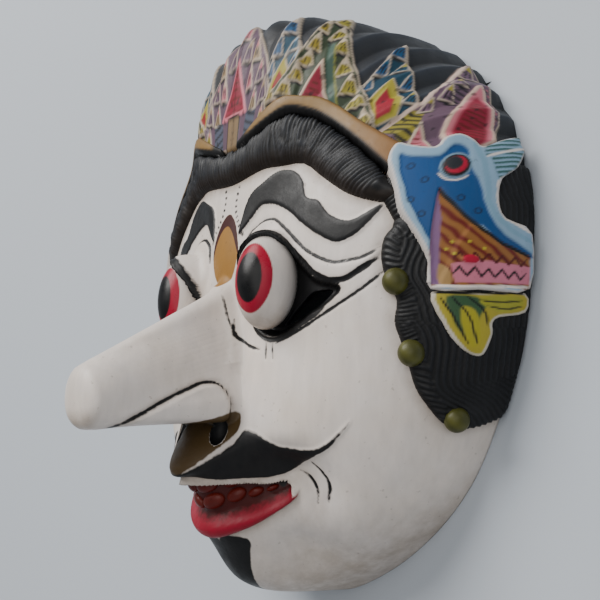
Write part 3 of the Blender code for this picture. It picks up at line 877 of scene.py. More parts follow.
def nostril_cutter(name, flip):
    """An egg-shaped cutter for one nostril."""
    deselect()
    at = (np.array(NOSTRIL) * (flip, 1, 1) + FRAME_SHIFT) * MM
    bpy.ops.mesh.primitive_uv_sphere_add(segments=32, ring_count=20, radius=MM, location=at,
                                         scale=NOSTRIL_SIZE)
    obj = bpy.context.object
    obj.name = name
    return obj


def recalculate(obj):
    deselect()
    obj.select_set(True)
    bpy.context.view_layer.objects.active = obj
    bpy.ops.object.mode_set(mode="EDIT")
    bpy.ops.mesh.select_all(action="SELECT")
    bpy.ops.mesh.normals_make_consistent(inside=False)
    bpy.ops.object.mode_set(mode="OBJECT")


def cut(obj, cutter):
    deselect()
    bpy.context.view_layer.objects.active = obj
    tool = obj.modifiers.new("cut", "BOOLEAN")
    tool.operation = "DIFFERENCE"
    tool.object = cutter
    bpy.ops.object.modifier_apply(modifier=tool.name)
    bpy.data.objects.remove(cutter, do_unlink=True)


def ink_distance(side):
    """Distance to the face's black: brow, moustache, beard, eye rims and every outline."""
    stroke = bpy.context.scene.topeng_finish.stroke / MM
    shapes = [near(side, rounded(shape), 4.0) for shape in (MOUSTACHE, GOATEE, EYE_OPENING)]
    shapes[2] = shapes[2] - 0.9 + 1.7 * np.clip((27 - side[:, 0]) / 3, 0, 1)
    shapes.append(near(side, rounded(BROW), 4.0))
    lines = [(LID_LINE, 1.9), (FOLD_LINE, 1.2), (LOWER_LID_LINE, 1.7), (LOWER_LID_FOLD, 1.0),
             (LOWER_LID_SWEEP, 1.0)]
    lines += [(line, 1.0) for line in CHEEK_STROKES]
    for line, width in lines:
        far, along, whole = beside(side, rounded(line, 5, False), 4.0)
        taper = np.clip(np.minimum(along, whole - along) / 6 + 0.3, 0, 1)
        shapes.append(far - stroke * width * taper / 2)
    for line in DOTTED_LINES:
        far, along, whole = beside(side, rounded(line, 5, False), 4.0)
        shapes.append(np.maximum(far - stroke * 0.7, 0.8 - np.abs(np.mod(along, 2.8) - 1.4)))
    return np.min(shapes, axis=0)


def face_layers(ab, points, zone):
    """How far each place of the body lies from every painted shape, in millimetres."""
    side = both_sides(ab)
    nose = zone == 0
    stroke = bpy.context.scene.topeng_finish.stroke / MM
    oval = near(side, rounded(mirrored(FOREHEAD_OVAL)), 4.0)
    mouth = near(side, rounded(mirrored(MOUTH)), 4.0)
    corner = np.hypot(side[:, 0] - 29.0, side[:, 1] + 75.4) - 1.6
    groove = beside(points[:, 1:], rounded(WING_GROOVE, 4, False), 5.0)[0]
    on_wing = (np.abs(points[:, 0]) > 4) & (side[:, 0] < 27) & (zone < 2)
    on_wing &= (ab[:, 1] < -30) & (ab[:, 1] > -60)
    ink = np.where(nose, 4.0, ink_distance(side))
    ink = np.minimum(ink, np.where(on_wing, groove - stroke * 0.42, 4.0))
    folded = np.abs(points) * (1, 0, 0) + points * (0, 1, 1)
    ink = np.minimum(ink, beside(folded, rounded(NOSE_SIDE_LINE, 4, False))[0] - stroke * 0.4)
    below = np.maximum(points[:, 1] + 63.5, 4 - np.clip((104 - points[:, 2]) / 4, 0, 4))
    under_nose = np.where(nose & (np.abs(points[:, 0]) < 30), np.maximum(below, points[:, 2] - 88), 4.0)
    layers = {
        "olive": np.minimum(near(side, rounded(PHILTRUM), 4.0), np.where(nose, under_nose, 4.0)),
        "oval": np.where(nose, 4.0, oval),
        "cap": np.where(nose, 4.0, np.maximum(oval, 27 - 0.12 * side[:, 0] ** 2 - side[:, 1])),
        "brow": near(side, rounded(BROW), 4.0),
        "ink": ink,
        "lips": near(side, rounded(LOWER_LIP), 4.0),
        "mouth": mouth + 0.1,
        "corner": np.maximum(corner, mouth),
        "bare": np.where(zone == 2, -2.0, 2.0),
    }
    return layers, groove, on_wing


def darken_along(distance, width):
    """Darkening along an edge, dirt and painted shade, fullest on it and gone at a width from it."""
    return np.clip(1 - np.abs(distance) / width, 0, 1)


def face_grime_and_shade(ab, points, zone, groove, on_wing):
    """Darkening from none to full: dirt and painted shade in the furrows round the lips, eye openings and
    nose wings and along the hair and side locks, painted shade towards the bottom of the jaw, wear at the
    nose tip, and a patch beside each corner of the mouth.
    """
    side = both_sides(ab)
    hair = near(side, rounded(np.vstack([UPPER_HAIR_EDGE, HAIRLINE]), 3), 8.0)
    tip = np.clip((points[:, 2] - 110) / 3, 0, 1) * np.clip((-59 - points[:, 1]) / 5, 0, 1)
    # Painted shade: the jaw darkens towards its bottom, away from the light above.
    jaw = np.clip((-80 - ab[:, 1]) / 24, 0, 1) * (zone == 1)
    darkenings = (
        darken_along(near(side, rounded(mirrored(LIPS)), 6.0), 3) * 0.5,
        darken_along(near(side, rounded(EYE_OPENING), 6.0), 2.5) * 0.5,
        np.clip(1 - groove / 2.5, 0, 1) * on_wing * 0.4,
        darken_along(near(side, rounded(LOCK, 3), 8.0), 4.0) * 0.5,
        darken_along(hair, 4.0) * 0.7,
        tip * 0.55,
        jaw * 0.55,
        darken_along(np.hypot(side[:, 0] - 36, side[:, 1] + 80) - 4, 7) * 0.3,
    )
    return np.max(darkenings, axis=0)


def paint_points(mesh, points, layers):
    """Gives each point of the cut mesh its own paint, and black to the walls of the cuts as painted shade
    inside the slits and nostrils.
    """
    tree = kdtree.KDTree(len(points))
    for k, point in enumerate(points):
        tree.insert(point, k)
    tree.balance()
    found = [tree.find(vertex.co) for vertex in mesh.vertices]
    kept = np.array([index for _, index, _ in found])
    fresh = np.array([gap for _, _, gap in found]) > 1e-6
    for layer, far in layers.items():
        values = np.asarray(far, float)[kept]
        if layer != "grime_and_shade":
            # New points on the walls of the cuts take black ink, painted shade inside the holes, and no
            # other coat.
            values[fresh] = -0.5 if layer == "ink" else 2.0
        write_value(mesh, layer, values)


def make_body():
    """The carved block with its long nose, open eyes and hollow back."""
    tip, rings, back, places = meridians()
    deselect()
    bpy.ops.mesh.primitive_uv_sphere_add(segments=SEGMENTS, ring_count=len(rings) + 1, radius=0.1)
    obj = bpy.context.object
    start = co_of(obj.data)
    polar = np.arccos(np.clip(start[:, 2] / np.linalg.norm(start, axis=1), -1, 1))
    row = np.rint(polar / pi * (len(rings) + 1)).astype(int)
    column = np.rint(np.arctan2(start[:, 1], start[:, 0]) / (2 * pi) * SEGMENTS).astype(int) % SEGMENTS
    inner = np.clip(row - 1, 0, len(rings) - 1)
    points = rings[inner, column]
    points[row == 0] = tip
    points[row == len(rings) + 1] = back
    points[:, 2] = np.maximum(points[:, 2], BACK_TRIM)
    ab = places[inner, column]
    nose_rows = CAP_RINGS - 1 + NOSE_RINGS
    zone = np.where(row <= nose_rows, 0, np.where(row > nose_rows + FACE_RINGS, 2, 1))
    put_co(obj.data, points)
    layers, groove, on_wing = face_layers(ab, points, zone)
    layers["grime_and_shade"] = face_grime_and_shade(ab, points, zone, groove, on_wing)
    whole = co_of(obj.data)
    for cutter in (slit_cutter("right_slit", 1), slit_cutter("left_slit", -1),
                   nostril_cutter("right_nostril", 1), nostril_cutter("left_nostril", -1)):
        cut(obj, cutter)
    paint_points(obj.data, whole, layers)
    shade = paints()
    # The brow coat is slate, the black brow lightened as a painted sheen; the ink coat after it takes in
    # the brow too.
    coats = (("olive", shade["wood"] * (0.55, 0.5, 0.4)), ("oval", shade["ochre"] * (0.86, 0.72, 0.42)),
             ("cap", shade["maroon"] * (0.5, 0.8, 0.7)), ("brow", shade["slate"] * 0.8),
             ("ink", shade["black"]), ("lips", shade["red"] * (0.8, 0.75, 0.75)), ("mouth",
                                                                                   shade["maroon"] * 0.75),
             ("corner", shade["black"] * 0.4), ("bare", shade["wood"] * 0.6))
    finish_piece(obj, "mask_body", painted_wood("painted_face", roughness=0.42, bump=0.3, dirt=0.45,
                                                coats=coats))
    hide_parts("mask")
    return obj


def make_panel(name, outline, height, paint, material, step=None, under=0.8, thickness=2.6):
    """A carved panel on the chart: its outline is cut cleanly and its edge drops into the block."""
    step = step or bpy.context.scene.topeng_finish.spacing / MM
    outline = np.asarray(outline, float)
    low = outline.min(0) - 2 * step
    high = outline.max(0) + 2 * step
    count = np.ceil((high - low) / step).astype(int)
    deselect()
    bpy.ops.mesh.primitive_grid_add(x_subdivisions=int(count[0]), y_subdivisions=int(count[1]), size=1)
    obj = bpy.context.object
    mesh = obj.data
    start = co_of(mesh)
    ab = low + (start[:, :2] + 0.5) * (high - low)
    rim = CHART * pi / 2 - 0.6
    far = near(ab, outline, 4.0)
    slope = np.stack([near(ab + (0.1, 0), outline, 4.0) - far, near(ab + (0, 0.1), outline, 4.0) - far],
                     1)
    slope /= np.maximum(np.linalg.norm(slope, axis=1), 1e-6)[:, None]
    top_edge = np.abs(far) <= step / 2
    foot = (far > step / 2) & (far <= 1.5 * step)
    ab = ab - slope * np.where(top_edge, far, np.where(foot, far - 0.35 * step, 0))[:, None]
    reach = np.hypot(ab[:, 0], ab[:, 1])
    beyond = reach > rim + 1.5 * step
    ab = ab * np.minimum(1, rim / np.maximum(reach, 1e-6))[:, None]
    drop = foot | (far > step / 2)
    colours, relief, grime_and_shade = paint(ab, np.where(top_edge, 0, np.where(drop, 0.3, far)))
    rise = np.where(drop, -under, height(ab, np.minimum(np.where(top_edge, 0, far), 0)) + relief)
    at_rim = np.clip((CHART * pi / 2 - np.hypot(ab[:, 0], ab[:, 1])) / 3, 0, 1)
    ray = chart_ray(ab)
    points = from_heart(ray, dome(ray) + rise * (0.35 + 0.65 * at_rim))
    put_co(mesh, points)
    lay_paint(mesh, colours, grime_and_shade)
    gone = (far > 1.5 * step) | beyond
    drop_points(obj, gone)
    wall = obj.modifiers.new("wall", "SOLIDIFY")
    wall.thickness = thickness * MM
    wall.offset = -1.0
    deselect()
    bpy.context.view_layer.objects.active = obj
    bpy.ops.object.modifier_apply(modifier=wall.name)
    settled = co_of(obj.data)
    settled[:, 2] = np.maximum(settled[:, 2], 0.0)
    set_co(obj.data, settled)
    return finish_piece(obj, name, material)


def drop_points(obj, gone):
    """Deletes the points of a mesh that are marked."""
    mesh = obj.data
    deselect()
    obj.select_set(True)
    bpy.context.view_layer.objects.active = obj
    bpy.ops.object.mode_set(mode="EDIT")
    bpy.ops.mesh.select_all(action="DESELECT")
    bpy.ops.object.mode_set(mode="OBJECT")
    mesh.vertices.foreach_set("select", gone)
    bpy.ops.object.mode_set(mode="EDIT")
    bpy.ops.mesh.select_mode(type="VERT")
    bpy.ops.object.mode_set(mode="OBJECT")
    mesh.vertices.foreach_set("select", gone)
    bpy.ops.object.mode_set(mode="EDIT")
    bpy.ops.mesh.delete(type="VERT")
    bpy.ops.object.mode_set(mode="OBJECT")


def mirror_piece(obj, name):
    """The same piece on the mask's left side, with its own mesh."""
    deselect()
    twin = obj.copy()
    twin.data = obj.data.copy()
    bpy.context.collection.objects.link(twin)
    set_co(twin.data, co_of(twin.data) * (-1, 1, 1))
    twin.data.flip_normals()
    twin.name = name
    twin.data.name = name
    return twin


# Darkening along a panel's edge, dirt and painted shade where the panel meets the face, fading inward over
# the reach.
def edge_grime_and_shade(far, reach=2.0, amount=0.7):
    return np.clip(1 + far / reach, 0, 1) * amount


def strands(ab, line, width, sway=0.9):
    """Height of fine strands that cross a line, from nought in a furrow to one on a strand."""
    far, along, _ = beside(ab, line, 60.0)
    phase = along / width + sway * np.sin(far / 5.5 + along / 9) + 0.35 * waver(ab, 6, 3)
    return 0.5 + 0.5 * np.cos(2 * pi * phase), far, along


def hair_paint(ab, far):
    shade = paints()
    width = bpy.context.scene.topeng_finish.strand / MM
    fine, across, along = strands(ab, rounded(np.vstack([(-30, 57), UPPER_HAIR_EDGE]), 4, False), width)
    curl = 0.5 + 0.5 * np.cos(2 * pi * (along / 9.5 + 0.25 * np.sin(across / 4)))
    brush = Palette(ab, shade["black"] * 0.9)
    # Painted highlight: slate laid along the crest of each strand.
    brush.blend(plateau(0.7 - fine, 0.4) * 0.55, shade["slate"] * 1.3)
    low = np.clip(1 + far / 3.5, 0, 1) * (across > 6)
    brush.blend(low * 0.5, shade["wood"] * (0.22, 0.17, 0.12))
    return brush.rgb, 0.75 * (fine - 1) + 0.7 * (curl - 1), edge_grime_and_shade(far)


def lock_paint(ab, far):
    shade = paints()
    width = bpy.context.scene.topeng_finish.strand / MM
    left = rounded(np.array(LOCK[:12]), 4, False)
    fine, across, along = strands(ab, left, width * 1.05, 1.6)
    flow = 0.5 + 0.5 * np.cos(2 * pi * ((across + 2.2 * np.sin(along / 5.5)) / 1.9))
    mixed = np.where(across < 4.5, fine, flow)
    brush = Palette(ab, shade["black"] * 0.75)
    # Painted highlight: a little slate along the crest of each strand.
    brush.blend(plateau(0.75 - mixed, 0.4) * 0.3, shade["slate"] * 0.8)
    return brush.rgb, 0.7 * (mixed - 1), edge_grime_and_shade(far)


def band_paint(ab, far):
    shade = paints()
    brush = Palette(ab, shade["ochre"] * (0.72, 0.72, 0.66))
    toward = np.clip((ab[:, 0] - 55) / 22, 0, 1)
    brush.blend(toward * 0.55, shade["wood"] * (1.5, 0.9, 0.6))
    foot = beside(ab, rounded(BAND_FOOT, 4, False), 6.0)[0]
    brush.blend(plateau(foot - 0.9, 0.6), shade["black"])
    brush.blend(np.clip((15 - np.abs(ab[:, 0])) / 4, 0, 1), shade["black"] * 1.5)
    return brush.rgb, np.zeros(len(ab)), edge_grime_and_shade(far, 1.5, 0.5)


def tile(brush, left, right, tip, body, top, ticks=2):
    """One carved leaf tile: pale outline, a second colour at its tip, black ticks and a painted shadow
    along its foot.
    """
    shade = paints()
    left, right, tip = np.array(left, float), np.array(right, float), np.array(tip, float)
    brush.edged([left, 0.35 * left + 0.65 * tip + (-0.3, 0), tip, 0.35 * right + 0.65 * tip + (0.3, 0),
                 right], body, shade["white"] * (0.62, 0.56, 0.47), 0.5, 0.45)
    brush.fill([0.5 * left + 0.5 * tip, tip, 0.5 * right + 0.5 * tip], top, grow=-0.35, edge=0.7)
    for share in np.linspace(0, 1, ticks + 2)[1:-1]:
        foot = left * (1 - share) + right * share
        brush.line([0.9 * foot + 0.1 * tip, 0.45 * foot + 0.55 * tip], 0.55, shade["black"] * 1.5)
    # Painted shadow: a dark line along the tile's foot, where it overlaps the tile below.
    brush.line([left + (0.3, -0.2), right + (-0.2, -0.2)], 0.7, shade["black"] * 1.5)


def flute_of(side):
    """How deep in a flute of the crown a chart point lies, nought on a ridge and one in a valley."""
    turn = np.degrees(np.arctan2(side[:, 1], np.maximum(side[:, 0], 1e-6)))
    return 1 - np.abs(1 - 2 * np.mod((90 - turn) / (66 / FLUTES), 1))


def crown_paint(ab, far):
    """The fluted grey crown with its stepped tumpals, with painted highlights on the flute ridges and
    painted shade in the flute valleys.
    """
    shade = paints()
    side = both_sides(ab)
    brush = Palette(side, shade["grey"] * 0.9)
    flute = flute_of(side)
    # Painted highlight on the flute ridges and painted shade, black, in the flute valleys.
    brush.blend(np.clip(0.35 - flute, 0, 1) * 0.9, shade["slate"] * (1.9, 2.1, 2.3))
    brush.blend(np.clip(flute - 0.45, 0, 1) * 0.9, shade["black"])
    cream = shade["white"] * (0.66, 0.60, 0.50)
    crimson = shade["red"] * (0.6, 2.2, 0.9)
    blue = shade["blue"] * (1.6, 1.1, 0.85)
    teal = shade["blue"] * (1.2, 1.0, 0.55)
    lime = shade["lime"] * (0.8, 0.7, 0.6)
    olive = shade["lime"] * (0.42, 0.46, 0.5)
    purple = shade["mauve"] * (0.42, 0.31, 0.38)
    rose = shade["pink"] * (0.85, 0.8, 0.72)
    sand = shade["wood"] * (2.0, 2.0, 2.2)
    # The tumpal between the centre one and the tall one.
    brush.edged([(23.4, 88), (27.9, 80.8), (31.7, 76.6), (33.4, 72.5), (34.8, 68), (34.4, 62),
                 (20.6, 62), (18.4, 75), (20.6, 80.8)], teal * 0.7, cream, 0.6, 0.9)
    for left, right, tip, body, top in (
            ((20.6, 80.4), (26.6, 81.2), (23.4, 87.4), blue, cream),
            ((19.2, 75.2), (24.2, 75.6), (21.6, 81), blue, teal),
            ((24.8, 75.8), (30.8, 76.4), (27.2, 81.4), teal, shade["pale_blue"]),
            ((19, 70.4), (23, 70.6), (20.6, 75.6), blue, teal),
            ((27.8, 71), (33.2, 71.4), (30.6, 76.8), blue, shade["pale_blue"]),
            ((30.4, 64.8), (34.8, 65), (32.6, 71), lime, cream)):
        tile(brush, left, right, tip, body, top)
    brush.edged([(25.4, 76), (21.4, 69.6), (20.8, 63), (31.2, 62.6), (30.2, 69.6)], lime * 1.1, cream,
                0.4, 0.5)
    brush.edged([(25.2, 72.4), (22.8, 69), (22.4, 63), (29.8, 62.8), (28.6, 69)],
                shade["maroon"] * (3, 2.4, 2), lime, 0.4, 0.4)
    # The one beyond the tall one, blue with a flame.
    brush.edged([(61.2, 88.4), (65.6, 81.6), (71.7, 73.2), (76.9, 64.6), (79.6, 58.8), (69.6, 48.4),
                 (58.8, 62), (56.4, 69), (59.4, 74), (60.2, 80)], teal * 0.55, cream, 0.6, 0.9)
    for left, right, tip, body, top in (
            ((60, 79.4), (66, 79.6), (61.4, 87.6), blue, cream),
            ((58.4, 72.6), (63.4, 73.2), (61, 79.6), blue, teal),
            ((64, 73.4), (70.4, 73.6), (66.4, 80), teal, lime),
            ((56.6, 66.4), (61.8, 67), (59.4, 72.6), blue, teal),
            ((69.8, 66.2), (75, 66.4), (71.6, 73.2), blue, teal),
            ((74, 58.4), (79, 58.8), (75.8, 65.4), teal, lime)):
        tile(brush, left, right, tip, body, top, 3)
    brush.edged([(66.6, 70.6), (62.6, 62.4), (66.8, 50), (75, 54.6), (73.6, 62.4)], lime * 1.15, cream,
                0.4, 0.5)
    brush.edged([(66.8, 66.6), (65, 61.6), (68.4, 52.6), (72.8, 55.4), (71.4, 62)],
                shade["red"] * (0.7, 1.6, 0.7), lime, 0.4, 0.5)
    # The tall tumpal.
    tall = [(38.8, 93.4), (43.8, 84.6), (48.2, 79.2), (53.2, 73.8), (58.7, 67.2), (64.7, 60.2),
            (70, 50), (52, 60.4), (36, 63.2), (20, 64), (27.4, 69), (30.6, 73.6), (32, 79),
            (34.2, 86.4)]
    brush.edged(tall, shade["green"] * (0.55, 0.42, 0.28), cream, 0.6, 0.9)
    for left, right, tip in (
            ((36, 86.6), (41.6, 87.2), (38.8, 93)), ((38, 81.2), (43.9, 82.8), (39.8, 87.6)),
            ((42, 76.4), (48, 78), (42.8, 82.8)), ((45.8, 71.4), (52.7, 72.8), (47, 78)),
            ((50.4, 65.4), (57.8, 66.8), (51.8, 72.6)), ((55, 59.2), (63.2, 60.4), (56.8, 66.4)),
            ((60.6, 53.2), (68.4, 51.6), (62.6, 60))):
        tile(brush, left, right, tip, lime, cream * 1.15, 3)
    for left, right, tip in (
            ((33.4, 82), (37.4, 82.2), (35.4, 87.6)), ((32.6, 76.8), (38, 77.2), (35, 82.2)),
            ((31.6, 72.6), (37.8, 73), (34.6, 77.4)), ((29, 68.2), (36, 68.4), (32.8, 73.2)),
            ((25.6, 64.6), (33.4, 64.4), (30, 69.2)), ((20.6, 63.6), (26.4, 63.8), (24.4, 67.6))):
        tile(brush, left, right, tip, lime * (0.95, 0.85, 0.8), cream)
    brush.fill([(38.6, 80.6), (40.8, 81), (52.4, 61), (47.6, 62)], shade["green"] * (1.0, 0.95, 1.0),
               raise_by=-0.3)
    brush.line([(41.2, 80.4), (46, 72), (52.6, 61)], 0.7, olive)
    brush.edged([(40.2, 75.4), (38.2, 70.4), (34.8, 62.2), (49.4, 61.6), (45.2, 67.4)], crimson,
                cream * (1.1, 1, 1), 1.1, 0.6)
    brush.hatch([(40.4, 70), (37.2, 63.4), (47, 62.6)], 86, 1.6, shade["maroon"] * 1.4, 0.35)
    # The centre tumpal.
    brush.edged([(0, 90.6), (6, 86), (11.6, 81.6), (15.4, 78.2), (18.8, 73.8), (21.8, 68), (22, 57),
                 (-22, 57), (-22, 68)], purple, cream, 0.6, 0.9)
    for left, right, tip, body, top in (
            ((-3.6, 83), (3.6, 83), (0, 90), rose, cream),
            ((1.6, 78), (7.4, 78), (4.6, 84), purple * 1.3, sand),
            ((7.8, 76.6), (13.4, 76.6), (10, 82.2), sand, rose),
            ((6, 71), (11, 71), (8.6, 77.2), rose, cream),
            ((11.6, 71.6), (17.2, 71.6), (13.8, 77.2), purple * 1.4, rose),
            ((9.8, 65.2), (15, 65.2), (12.4, 71.4), sand * 0.8, rose),
            ((15.4, 66), (21, 66), (18, 72.4), purple * 1.2, sand),
            ((16, 59.6), (21.6, 59.6), (18.8, 66), lime * 0.9, rose),
            ((14.6, 56), (20.6, 56), (17.4, 60), rose, purple)):
        tile(brush, left, right, tip, body, top)
    brush.fill([(8.4, 66), (14.6, 65), (14, 56.6), (7, 56.6)], shade["slate"] * (3.4, 3.4, 3.8),
               edge=0.6)
    brush.hatch([(8.4, 66), (14.6, 65), (14, 56.6), (7, 56.6)], 70, 2.2, shade["black"] * 2, 0.3)
    brush.edged([(0, 79.6), (8.8, 65.8), (-8.8, 65.8)], crimson * (1, 1.2, 1.1), rose * 1.3, 1.0, 0.6)
    brush.hatch([(0, 77), (6, 67), (-6, 67)], 88, 1.7, shade["maroon"] * 1.5, 0.3)
    brush.edged([(-4.4, 66.2), (4.4, 66.2), (4, 56), (-4, 56)], sand * 0.7, shade["black"] * 2, 0.6,
                0.3)
    # The outer tumpal above the ear ornament.
    outer = [(82.2, 88), (82.2, 76), (81.4, 66), (79, 58.8), (75, 53.4), (68.6, 47.6), (76, 40),
             (108, 40), (104.8, 46), (103.8, 57), (99.6, 66.6), (95.6, 74), (90.6, 81.6)]
    brush.edged(outer, purple * 1.1, cream, 0.6, 0.9)
    brush.line([(69, 47.8), (75.6, 54.4), (80.2, 60.4), (82.4, 69), (82.4, 85)], 1.6,
               shade["white"] * (0.8, 0.66, 0.6))
    corner = [(72, 50), (79, 44), (82.6, 45.4), (82, 57), (78.6, 57)]
    brush.fill(corner, lime * (0.8, 0.8, 0.7), edge=0.6)
    brush.hatch(corner, 62, 2.3, shade["black"] * 1.6, 0.42)
    for left, right, tip in (
            ((79.6, 56.4), (84.4, 56.2), (82.2, 62.6)), ((83.4, 61.8), (88.8, 61.4), (84.8, 69.4)),
            ((83.6, 69.6), (89.8, 69.2), (84.8, 77.6)), ((83.4, 77.8), (90.4, 77.4), (83.4, 86))):
        tile(brush, left, right, tip, purple * 1.5, lime * 1.1)
    brush.hatch([(86, 60), (90, 58), (90.4, 68), (89.4, 76), (86, 66)], 80, 1.9, shade["black"] * 2,
                0.35)
    brush.hatch([(93, 76), (98, 68), (102, 58), (103, 50), (99, 66), (94, 73)], 80, 1.9, rose, 0.4)
    tear = rounded([(92.2, 73.4), (90, 60), (89, 48.6), (94, 41), (104, 45), (100.8, 59)], 4)
    brush.edged(tear, rose * 1.2, cream * (1.2, 1.05, 1.1), 1.2, 0.9)
    brush.fill(rounded([(93.4, 67), (92, 57), (92, 48), (96.4, 42), (101.6, 45), (99.2, 58)], 4),
               crimson, edge=2.0)
    brush.hatch(rounded([(94, 62), (93, 49), (96.6, 43), (100.8, 46), (98.4, 57)], 4), 82, 1.7,
                shade["maroon"] * 1.3, 0.35)
    brush.edged([(82.6, 51), (80.8, 39), (89.4, 39)], rose, cream * 1.1, 0.8, 0.5)
    brush.hatch([(82.8, 48), (82, 40), (87, 40)], 84, 1.6, shade["maroon"] * 1.6, 0.3)
    spots = plateau(waver(side, 2.6, 7) * -1 + 0.62, 0.12) * (brush.relief > 0.2)
    brush.blend(spots * 0.6, shade["black"] * 1.5)
    return brush.rgb, brush.relief, edge_grime_and_shade(far, 1.5, 0.4)


def crown_height(ab, far):
    side = both_sides(ab)
    deep = FLUTE_DEPTH * np.clip((np.hypot(side[:, 0], side[:, 1]) - 66) / 22, 0, 1) * flute_of(side)
    return CROWN_RISE - deep


def ornament_paint(ab, far):
    """A blue bird-like head with a red eye and an open painted beak."""
    shade = paints()
    pale = shade["pale_blue"]
    snow = shade["white"]
    brush = Palette(ab, pale)
    # Painted highlight: a white band along the eased edge, where the rounded rim catches the light.
    brush.blend(plateau(-far - 0.8, 0.5), snow * (0.92, 0.95, 1.0))
    field = rounded([(80.6, 36.6), (84, 35.4), (91.2, 35.6), (93.4, 40), (97.4, 38.6), (99.6, 32.4),
                     (102.4, 28), (104.6, 22), (107.4, 15.8), (112, 9.8), (121, 4.8), (121, 3),
                     (112, 6), (103, 12), (95.4, -10), (93.8, 3), (91.6, 8.4), (88.6, 14.6),
                     (86.2, 19.4), (84, 25), (81.6, 31)], 3)
    brush.fill(field, shade["blue"], edge=0.7, raise_by=-0.5)
    brush.line([(98, 41.5), (102, 35.6), (104.6, 28), (106, 21), (109, 15.4), (114, 11.6), (121, 9)],
               1.6, pale * (0.8, 0.9, 0.9))
    brush.line([(107.6, 29), (108.8, 21), (111.6, 15.6), (121, 12.4)], 1.2, snow)
    for tuft in (
            [(101.2, 40.8), (109.4, 50), (111, 47), (106, 39.4), (102.4, 37.4)],
            [(103.9, 36.8), (112.6, 46), (111.8, 36.4), (107.4, 29.8)]):
        brush.fill(tuft, shade["green"] * (0.5, 0.9, 1.1), edge=0.6)
        brush.hatch(tuft, 120, 1.7, pale * 1.1, 0.45, sink=0.25)
    brush.line([(102.6, 36.9), (107, 41), (112.6, 45.8)], 0.9, snow)
    for spot in ((89, 27), (86.5, 20), (104, 17), (99, 21), (84.4, 32), (90, 15)):
        gap = np.hypot(ab[:, 0] - spot[0], ab[:, 1] - spot[1])
        brush.blend(plateau(np.abs(gap - 0.9) - 0.25, 0.4) * 0.7, shade["black"])
    beak = [(93, 24.4), (97, 19.6), (100.8, 15.4), (106.8, 10.4), (112.4, 6.8), (121, 3.8), (121, -9.4),
            (93.6, -10)]
    brush.fill(beak, shade["ochre"] * (0.8, 0.55, 0.35), edge=0.5, raise_by=-0.6)
    brush.hatch(beak, 48, 3.4, shade["maroon"] * 1.6, 0.4)
    brush.fill([(93, 24), (95.4, 14), (96, -9.6), (93.6, -9.6)], shade["mauve"] * (0.9, 0.6, 1.0),
               edge=0.6)
    brush.line([(93, 24), (100.8, 15), (106.8, 10), (112.4, 6.4), (121, 3.4)], 1.0, shade["black"])
    brush.fill([(98.6, -2.2), (105, -0.6), (112, -0.4), (121, -0.6), (121, -7.6), (99.6, -8.8)],
               shade["pink"], edge=0.5)
    zigzag = np.array([(99 + 1.9 * k, -4.6 + (1.5 if k % 2 else -1.5)) for k in range(12)])
    brush.line(zigzag, 0.7, shade["black"])
    brush.line(zigzag + (0, 5.2), 0.7, shade["maroon"])
    gap = np.hypot((ab[:, 0] - 103.6) / 2.2, (ab[:, 1] + 0.3) / 1.5)
    brush.blend(plateau(gap - 1, 0.2), shade["red"])
    brush.relief += 0.6 * plateau(gap - 1, 0.4)
    brush.fill(rounded([(95.6, -2.4), (98.4, -4.4), (98.6, -9.4), (95.8, -9.6)], 3), shade["ochre"],
               edge=0.5)
    for spot in ((97.4, 3), (99.4, 1.4), (98.8, 5.6), (103, 6), (107, 4)):
        brush.blend(plateau(np.hypot(ab[:, 0] - spot[0], ab[:, 1] - spot[1]) - 0.5, 0.5),
                    shade["lime"] * (1.3, 1.1, 0.6))
    eye = ab - (95.7, 32.3)
    gap = np.hypot(eye[:, 0], eye[:, 1] * 0.85)
    brush.blend(plateau(gap - 4.1, 0.5), pale * 0.75)
    brush.blend(plateau(gap - 3.5, 0.5), shade["black"])
    brush.blend(plateau(gap - 2.7, 0.5), shade["red"] * 1.1)
    brush.blend(plateau(np.hypot(eye[:, 0] + 0.7, (eye[:, 1] - 0.5) * 0.85) - 2.1, 0.5),
                shade["grey"] * 0.8)
    brush.relief += 0.9 * pillow(gap - 3.5, 3.0)
    brush.blend(plateau(np.abs(gap - 4.5) - 0.25, 0.4) * plateau(eye[:, 1] + 3, 1), snow)
    brush.line([(93.6, -10.3), (104.9, -10.0), (121, -8.6)], 1.1, snow)
    return brush.rgb, brush.relief, edge_grime_and_shade(far, 1.2, 0.35)


def leaf_paint(ab, far):
    shade = paints()
    brush = Palette(ab, shade["white"] * (0.9, 0.92, 0.85))
    outline = rounded(LEAF, 3)
    brush.fill(outline, shade["lime"] * (1.0, 0.85, 0.6), grow=-0.9, edge=0.6)
    brush.fill(rounded([(97.6, -13.6), (105, -13.4), (108, -16), (106, -20), (103.4, -27), (100, -26),
                        (98.4, -20)], 3), shade["green"] * (0.55, 0.75, 0.4), edge=1.0)
    brush.fill(rounded([(101, -17), (104.6, -18), (105.6, -24), (103.8, -31), (101.8, -30),
                        (100.6, -23)], 3), shade["lime"] * (1.0, 0.9, 0.5), edge=0.9)
    brush.fill(rounded([(106, -14), (118, -12.6), (118.6, -16.6), (110.6, -18.6)], 3),
               shade["lime"] * (0.85, 0.85, 0.5), edge=0.8)
    for vein in (
            ((96, -14), (99, -21), (101.6, -30)), ((99, -13.6), (103, -21), (104, -30)),
            ((103, -13.4), (107, -18), (108, -24)), ((106, -14.5), (112, -15), (119, -14)),
            ((108, -16.6), (113, -17.4), (119, -16.4))):
        brush.line(rounded(vein, 4, False), 0.6, shade["black"], sink=0.3)
    brush.line([(94, -12.4), (106, -12), (120.5, -11)], 1.0, shade["black"])
    return brush.rgb, brush.relief, edge_grime_and_shade(far, 1.2, 0.4)


def flat(rise):
    """A level panel with its edge just eased."""
    return lambda ab, far: rise - 0.7 * np.exp(far / 0.6)


